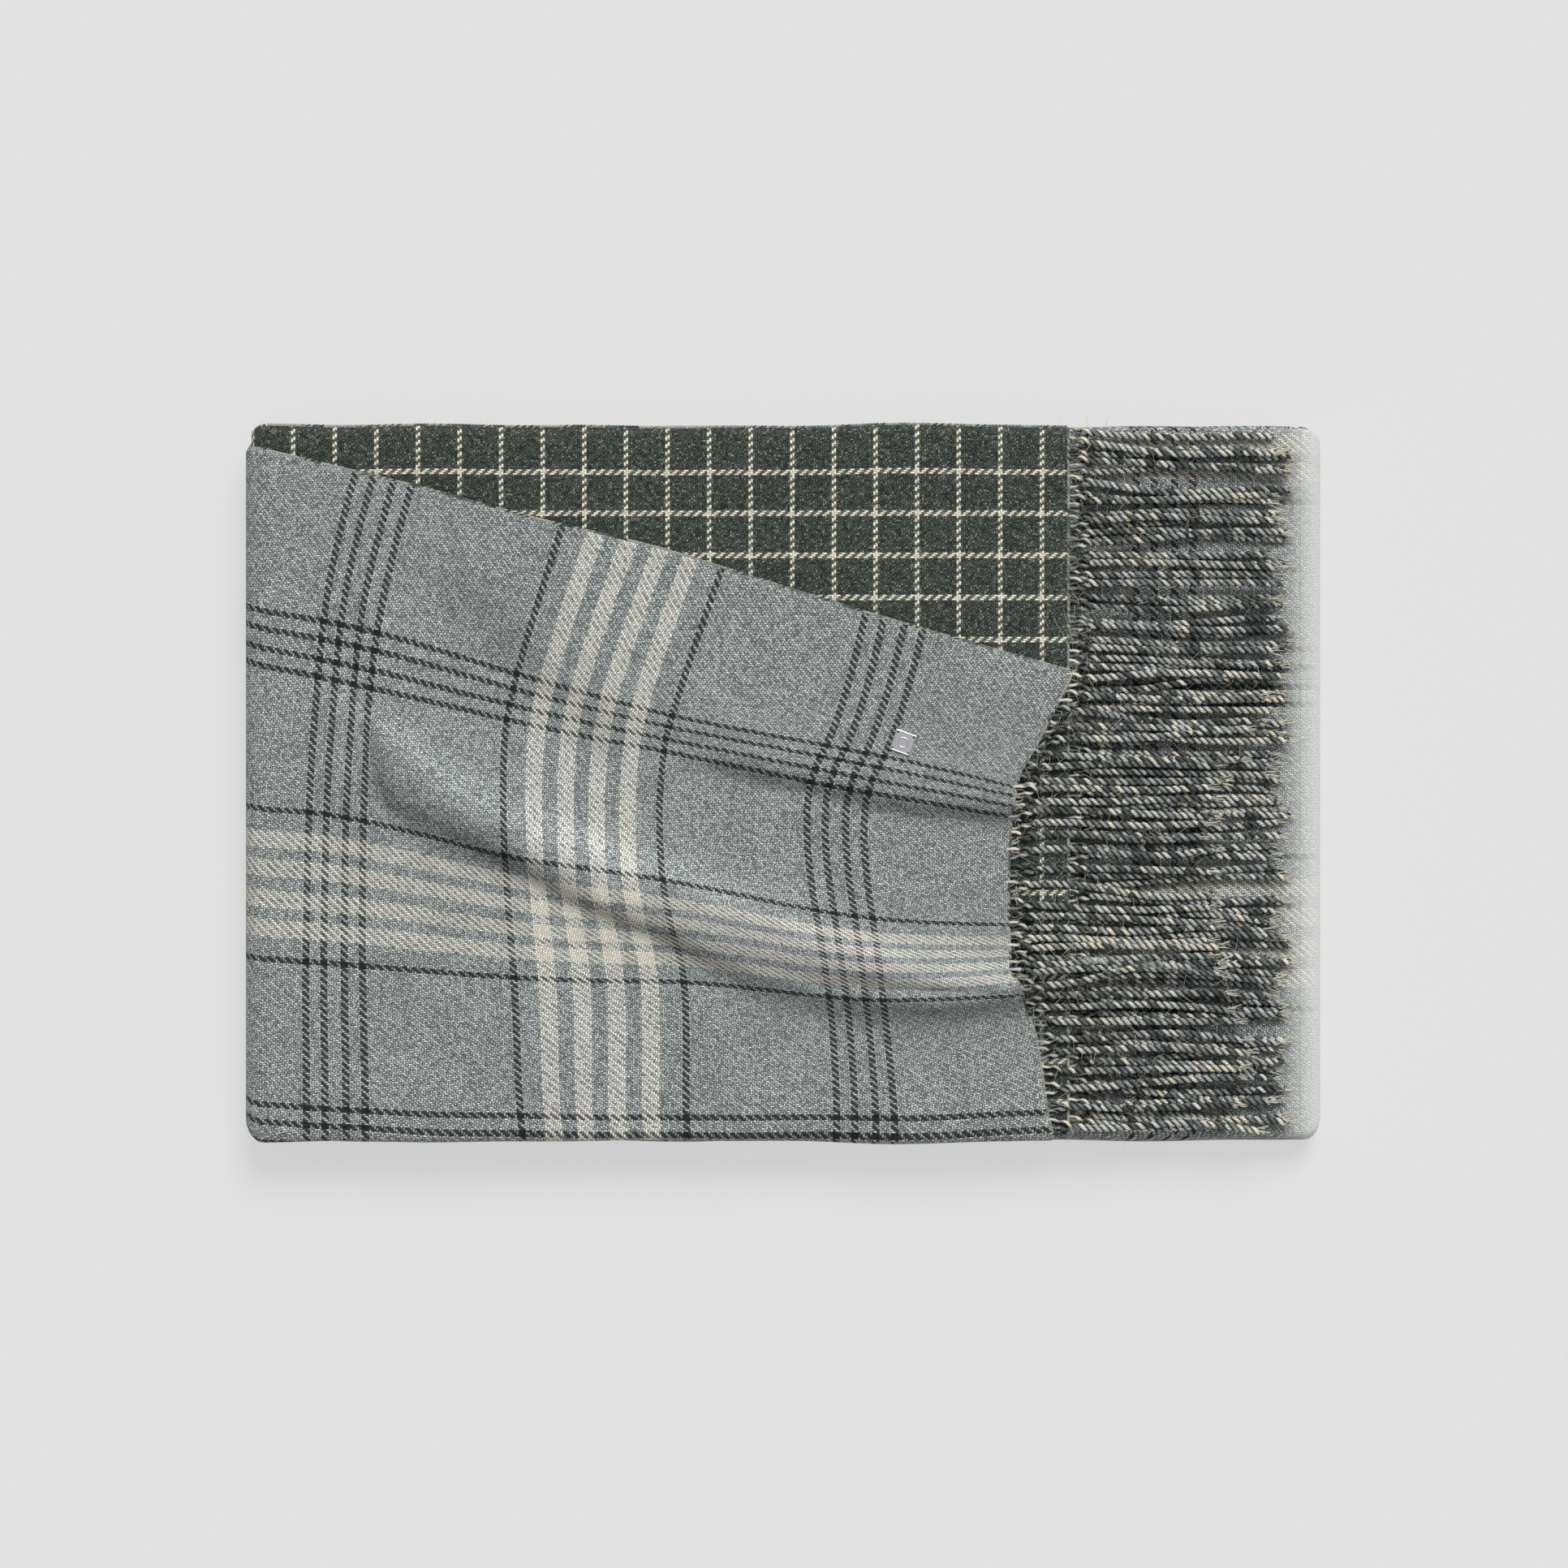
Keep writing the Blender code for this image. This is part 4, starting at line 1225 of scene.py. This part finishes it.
def frayed_tips(centre, per_tassel, seed, heading):
    """The small brush that each cord's cut end opens into."""
    draw = np.random.default_rng(seed)
    which = np.repeat(np.arange(len(centre)), per_tassel)
    total = len(which)
    at = centre[which, -4]
    t = np.linspace(0, 1, FIBRE_RINGS)[None, :, None]
    length = draw.uniform(*TIP_LENGTH, (total, 1, 1)) * MM
    sideways, upwards = draw.normal(0, 0.20, total), draw.normal(0, 0.10, total)
    fan = np.stack([np.full(total, 1.0 * heading), sideways, upwards], axis=1)
    start = draw.normal(0, 0.5, (total, 3)) * MM * np.array([0, 1, 0.8])
    paths = at[:, None] + start[:, None] + fan[:, None] * t * length
    paths[..., 2] = np.clip(paths[..., 2], LOWEST_FIBRE, None)
    radius = draw.uniform(*TIP_RADIUS, (total, 1)) * MM * np.linspace(1, 0.5, FIBRE_RINGS)[None]
    return paths, radius


def add_tassels(name, roots, heading, rest_z, seed, rings=96, sides=8, fibres=22, tips=7, spread=2.1 * MM,
                wander=1.6, reach=TASSEL_LENGTH):
    """One row of cords with its wisps. heading is 1 towards +X and -1 towards -X."""
    centre, strands, radius = tassel_paths(roots, heading, rest_z, seed, rings, spread, wander, reach)
    groups = [
        (np.concatenate(strands), np.tile(radius, (STRANDS, 1)), sides),
        (*loose_fibres(centre, fibres, seed + 1), FIBRE_SIDES),
        (*frayed_tips(centre, tips, seed + 2, heading), TIP_SIDES),
    ]
    cords = tubes(*groups[0])[0].reshape(len(strands), len(roots), rings, sides, 3)
    from_centre = (cords - centre[None, :, :, None]) / (STRAND_RADIUS + STRAND_ORBIT)
    out = np.linalg.norm(from_centre[..., 1:], axis=-1)
    beside = smooth((from_centre[..., 2] + 0.30) / 0.85)  # low on a cord its neighbours shade it
    return join_tubes(name, groups, tassel_yarn, depth=np.clip(out, 0, 1) * (0.50 + 0.50 * beside))


def straight_roots(heading, z, offset, seed):
    """Roots along a straight edge, evenly spaced but for a small random step."""
    draw = np.random.default_rng(seed)
    share = (np.arange(TASSELS) + 0.5) / TASSELS
    y = TURN_Y + (SELVAGE_Y - TURN_Y) * share + offset + draw.normal(0, 0.4 * MM, TASSELS)
    return settle(points_of(heading * (EDGE_X - ROOT_DEPTH), y, z))


def leaf_roots():
    """Roots along the top leaf's bowed edge, evenly spaced by cloth width."""
    share = (np.arange(TASSELS) + 0.5) / TASSELS
    rows = np.interp(share, np.linspace(0, 1, TOP_ROWS + 1), np.arange(TOP_ROWS + 1))
    edge = settle(top_leaf[:, -1])
    base = np.stack([np.interp(rows, np.arange(TOP_ROWS + 1), edge[:, k]) for k in range(3)], axis=-1)
    base[:, 0] -= ROOT_DEPTH
    return base


print("one row has", TASSELS, "tassels of", STRANDS, "strands, up to", round(LONG_TASSEL / MM), "mm long")

# %% [markdown]
# ## Finished edges
# The free selvages and the woven edges of the leaves are finished with a turned pair of yarns,
# which shows as a fine row of slanting stitches. It is a two-strand cord, like a tiny tassel
# cord, laid along the rim of the cloth.

# %% Edge cords
CORD_STRAND, CORD_LAY, CORD_STEP = 0.40 * MM, 3.1 * MM, 0.42 * MM
CORD_SIDES, CORD_DEPTH = 6, 0.74
CORD_RISE, SELVAGE_OUT, WOVEN_EDGE_OUT = 0.45 * MM, 0.4 * MM, 0.5 * MM


def edge_cord(name, path):
    """Two thin strands twisted along a path of points in metres."""
    run = np.concatenate([[0], np.cumsum(np.linalg.norm(np.diff(path, axis=0), axis=1))])
    even = np.linspace(0, run[-1], int(run[-1] / CORD_STEP))
    line = np.stack([np.interp(even, run, path[:, k]) for k in range(3)], axis=-1)
    ahead = np.gradient(line, axis=0)
    ahead /= np.linalg.norm(ahead, axis=1, keepdims=True)
    side = np.cross(ahead, [0, 0, 1.0])
    spin = 2 * math.pi * even / CORD_LAY
    orbit = CORD_STRAND * 0.95
    strands = [
        line + side * (np.cos(spin + start) * orbit)[:, None] + np.outer(np.sin(spin + start) * orbit, [0, 0, 1.0])
        for start in (0, math.pi)
    ]
    radii = np.full((2, len(even)), CORD_STRAND)
    depth = np.full(2 * len(even) * CORD_SIDES, CORD_DEPTH)
    return join_tubes(name, [(np.stack(strands), radii, CORD_SIDES)], tassel_yarn, depth)


leaf_edge = settle(top_leaf)
level = UPPER_Z + 2.5 * PITCH + CORD_RISE
lower_x = np.linspace(-CREASE_X + 0.5 * MM, EDGE_X, 200)
lower_y = np.linspace(TURN_Y + 2 * MM, SELVAGE_Y, 160)
edge_cords = [
    edge_cord("woven_edge_cord_top_leaf", leaf_edge[:, -1] + np.array([WOVEN_EDGE_OUT, 0, CORD_RISE])),
    edge_cord("selvage_cord_top_leaf", leaf_edge[0] + np.array([0, SELVAGE_OUT, CORD_RISE])),
    edge_cord("selvage_cord_second_leaf", settle(points_of(lower_x, SELVAGE_Y + SELVAGE_OUT, level))),
    edge_cord("woven_edge_cord_second_leaf", settle(points_of(EDGE_X + WOVEN_EDGE_OUT, lower_y, level))),
]

# %% [markdown]
# ## All eight rows
# The four rows at the top panel's end lie on the middle panel, one on another, and the four at
# the bottom panel's end lie on the floor under the middle panel. The hidden rows get fewer rings
# and wisps, because nobody sees them closely. Each row is shifted a little, so that its cords lie
# in the gaps of the row below.

# %% Make all eight rows
MIDDLE_TOP = UPPER_Z - 0.15 * MM
REST_ON_MIDDLE = {1: 7.4 * MM, 2: 5.0 * MM, 3: 3.0 * MM, 4: 1.9 * MM}  # above the middle panel, by leaf
REST_ON_FLOOR = {1: 7.2 * MM, 2: 5.2 * MM, 3: 3.2 * MM, 4: 2.0 * MM}
ROW_SHIFT = {1: -1.5 * MM, 2: -1.1 * MM, 3: 2.4 * MM, 4: -1.5 * MM}
HIDDEN_ROW = {"rings": 70, "sides": 6, "fibres": 8, "tips": 4}
top_rows, bottom_rows = [], []
for leaf in (1, 2, 3, 4):
    above_panel = (4.5 - leaf) * PITCH
    roots = leaf_roots() if leaf == 1 else straight_roots(1, UPPER_Z + above_panel, ROW_SHIFT[leaf], 40 + leaf)
    top_rows.append(add_tassels(
        f"twisted_tassels_top_{leaf}", roots, 1, MIDDLE_TOP + REST_ON_MIDDLE[leaf], 100 + 10 * leaf,
        reach=TASSEL_LENGTH if leaf == 1 else LONG_TASSEL,
    ))
    roots = straight_roots(-1, LOWER_Z - PANEL + above_panel, ROW_SHIFT[leaf], 60 + leaf)
    bottom_rows.append(add_tassels(
        f"twisted_tassels_bottom_{leaf}", roots, -1, REST_ON_FLOOR[leaf], 200 + 10 * leaf, **HIDDEN_ROW,
    ))

# %% [markdown]
# ## The badge
# A small square metal plate is pinned to the top leaf, towards its woven edge. The frame already
# has the plate and its four pins, so they only get real finishes: brushed silver and dark pins.
# Fine noise that is stretched one way makes the brushed grain, and its bump is a few hundredths
# of a millimetre.

# %% Badge finishes
BRUSHED = (300, 9000, 300)  # grain per metre: long along the plate, fine across it


def make_silver():
    made, tree, surface = start_material("brushed_silver", 0.34)
    surface.inputs["Metallic"].default_value = 1.0
    surface.inputs["Specular IOR Level"].default_value = 0.5
    place = tree.nodes.new("ShaderNodeTexCoord")
    stretch = tree.nodes.new("ShaderNodeMapping")
    stretch.inputs["Scale"].default_value = BRUSHED
    tree.links.new(place.outputs["Object"], stretch.inputs["Vector"])
    grain = noise(tree, stretch.outputs[0], 1.0, 3.0)
    tone = blend_colours(tree, grain, linear(196, 196, 202), linear(226, 226, 232))
    tree.links.new(tone, surface.inputs["Base Color"])
    add_bump(tree, surface, grain, 0.15, 0.00004)
    return made


def make_pin_metal():
    made, tree, surface = start_material("dark_pin_metal", 0.5)
    surface.inputs["Metallic"].default_value = 1.0
    place = tree.nodes.new("ShaderNodeTexCoord")
    grain = noise(tree, place.outputs["Object"], 4000.0, 2.0)
    tone = blend_colours(tree, grain, linear(38, 38, 42), linear(70, 70, 74))
    tree.links.new(tone, surface.inputs["Base Color"])
    return made


silver, pin_metal = make_silver(), make_pin_metal()
print("badge finishes:", silver.name, pin_metal.name)

# %% [markdown]
# ## The badge's raised border and ring
# A border and a plain ring stand up from the plate. One outline formula gives both: at a
# squareness of 1 it draws a circle, and at a high one a square with soft corners. A small
# profile with a bevel on each side is swept round it, so the edges catch the light.

# %% Raised border and ring
BORDER = {"half_width": 4.42 * MM, "squareness": 7, "width": 0.5 * MM, "height": 0.28 * MM}
RING = {"half_width": 2.2 * MM, "squareness": 1, "width": 0.62 * MM, "height": 0.26 * MM}
BAND_PROFILE = np.array([(1, -0.1), (1, 0.7), (0.75, 1), (-0.75, 1), (-1, 0.7), (-1, -0.1)])
BAND_SEAT = 0.4 * MM  # the bands start this far above the middle of the plate


def raised_band(half_width, squareness, width, height, around=96):
    """A low band with bevelled edges. A squareness of 1 is a circle, and a high one is a square."""
    angle = 2 * math.pi * np.arange(around) / around
    circle = np.stack([np.cos(angle), np.sin(angle)], axis=-1)
    outline = np.sign(circle) * np.abs(circle) ** (1 / squareness)
    offset = half_width + BAND_PROFILE[:, 0] * width / 2
    flat = outline[:, None] * offset[None, :, None]
    tall = np.broadcast_to(BAND_PROFILE[:, 1] * height, flat.shape[:2])
    index = np.arange(around * len(BAND_PROFILE)).reshape(around, len(BAND_PROFILE))
    ahead, beside = np.roll(index, -1, axis=0), np.roll(index, -1, axis=1)
    quads = np.stack([index, ahead, np.roll(ahead, -1, axis=1), beside], axis=-1).reshape(-1, 4)
    return np.concatenate([flat, tall[..., None]], axis=-1).reshape(-1, 3), quads


def badge_casting():
    bands = [raised_band(**BORDER), raised_band(**RING)]
    points = np.concatenate([spots for spots, _ in bands])
    faces = np.concatenate([bands[0][1], bands[1][1] + len(bands[0][0])]).tolist()
    top = middle_of("badge_plate") + BAND_SEAT * BADGE_UP
    placed = top + points @ np.stack([BADGE_RIGHT, BADGE_AHEAD, BADGE_UP])
    return add_mesh("badge_raised_border_and_ring", placed, faces, np.zeros((4 * len(faces), 2)),
                    np.zeros(len(faces)), (silver,))


casting = badge_casting()
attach(casting, "top")
print("border and ring:", len(casting.data.polygons), "faces")

# %% [markdown]
# ## Finishes for the frame's own parts
# The plate and the pins are the frame's, so their shapes stay and only their material changes.

# %% Give the badge its finishes
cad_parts["badge_plate"].data.materials[0] = silver
for number in (1, 2, 3, 4):
    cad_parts[f"badge_pin_{number}"].data.materials[0] = pin_metal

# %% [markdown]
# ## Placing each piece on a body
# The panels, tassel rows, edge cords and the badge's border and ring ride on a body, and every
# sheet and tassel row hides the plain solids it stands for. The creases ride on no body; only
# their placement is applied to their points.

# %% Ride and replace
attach(bottom_panel, "base")
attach(middle_panel, "middle")
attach(top_panel, "top")
for crease, lower, upper, x, level in (
    (right_crease, "base", "middle", CREASE_X, LOWER_Z),
    (left_crease, "middle", "top", -CREASE_X, UPPER_Z),
):
    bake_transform(crease)
for sheet, node in (
    (bottom_panel, "bottom_panel_cloth"),
    (right_crease, "right_crease_cloth"),
    (middle_panel, "middle_panel_cloth"),
    (left_crease, "left_crease_cloth"),
    (top_panel, "top_panel_cloth"),
):
    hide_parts(node)
for cord in edge_cords:
    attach(cord, "top")
for leaf, (top_row, bottom_row) in enumerate(zip(top_rows, bottom_rows), 1):
    for row, end, body in ((top_row, "top", "top"), (bottom_row, "bottom", "base")):
        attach(row, body)
        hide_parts(f"{end}_tassels_leaf_{leaf}")

print("declared five sheets and", len(top_rows) + len(bottom_rows), "rows of tassels")
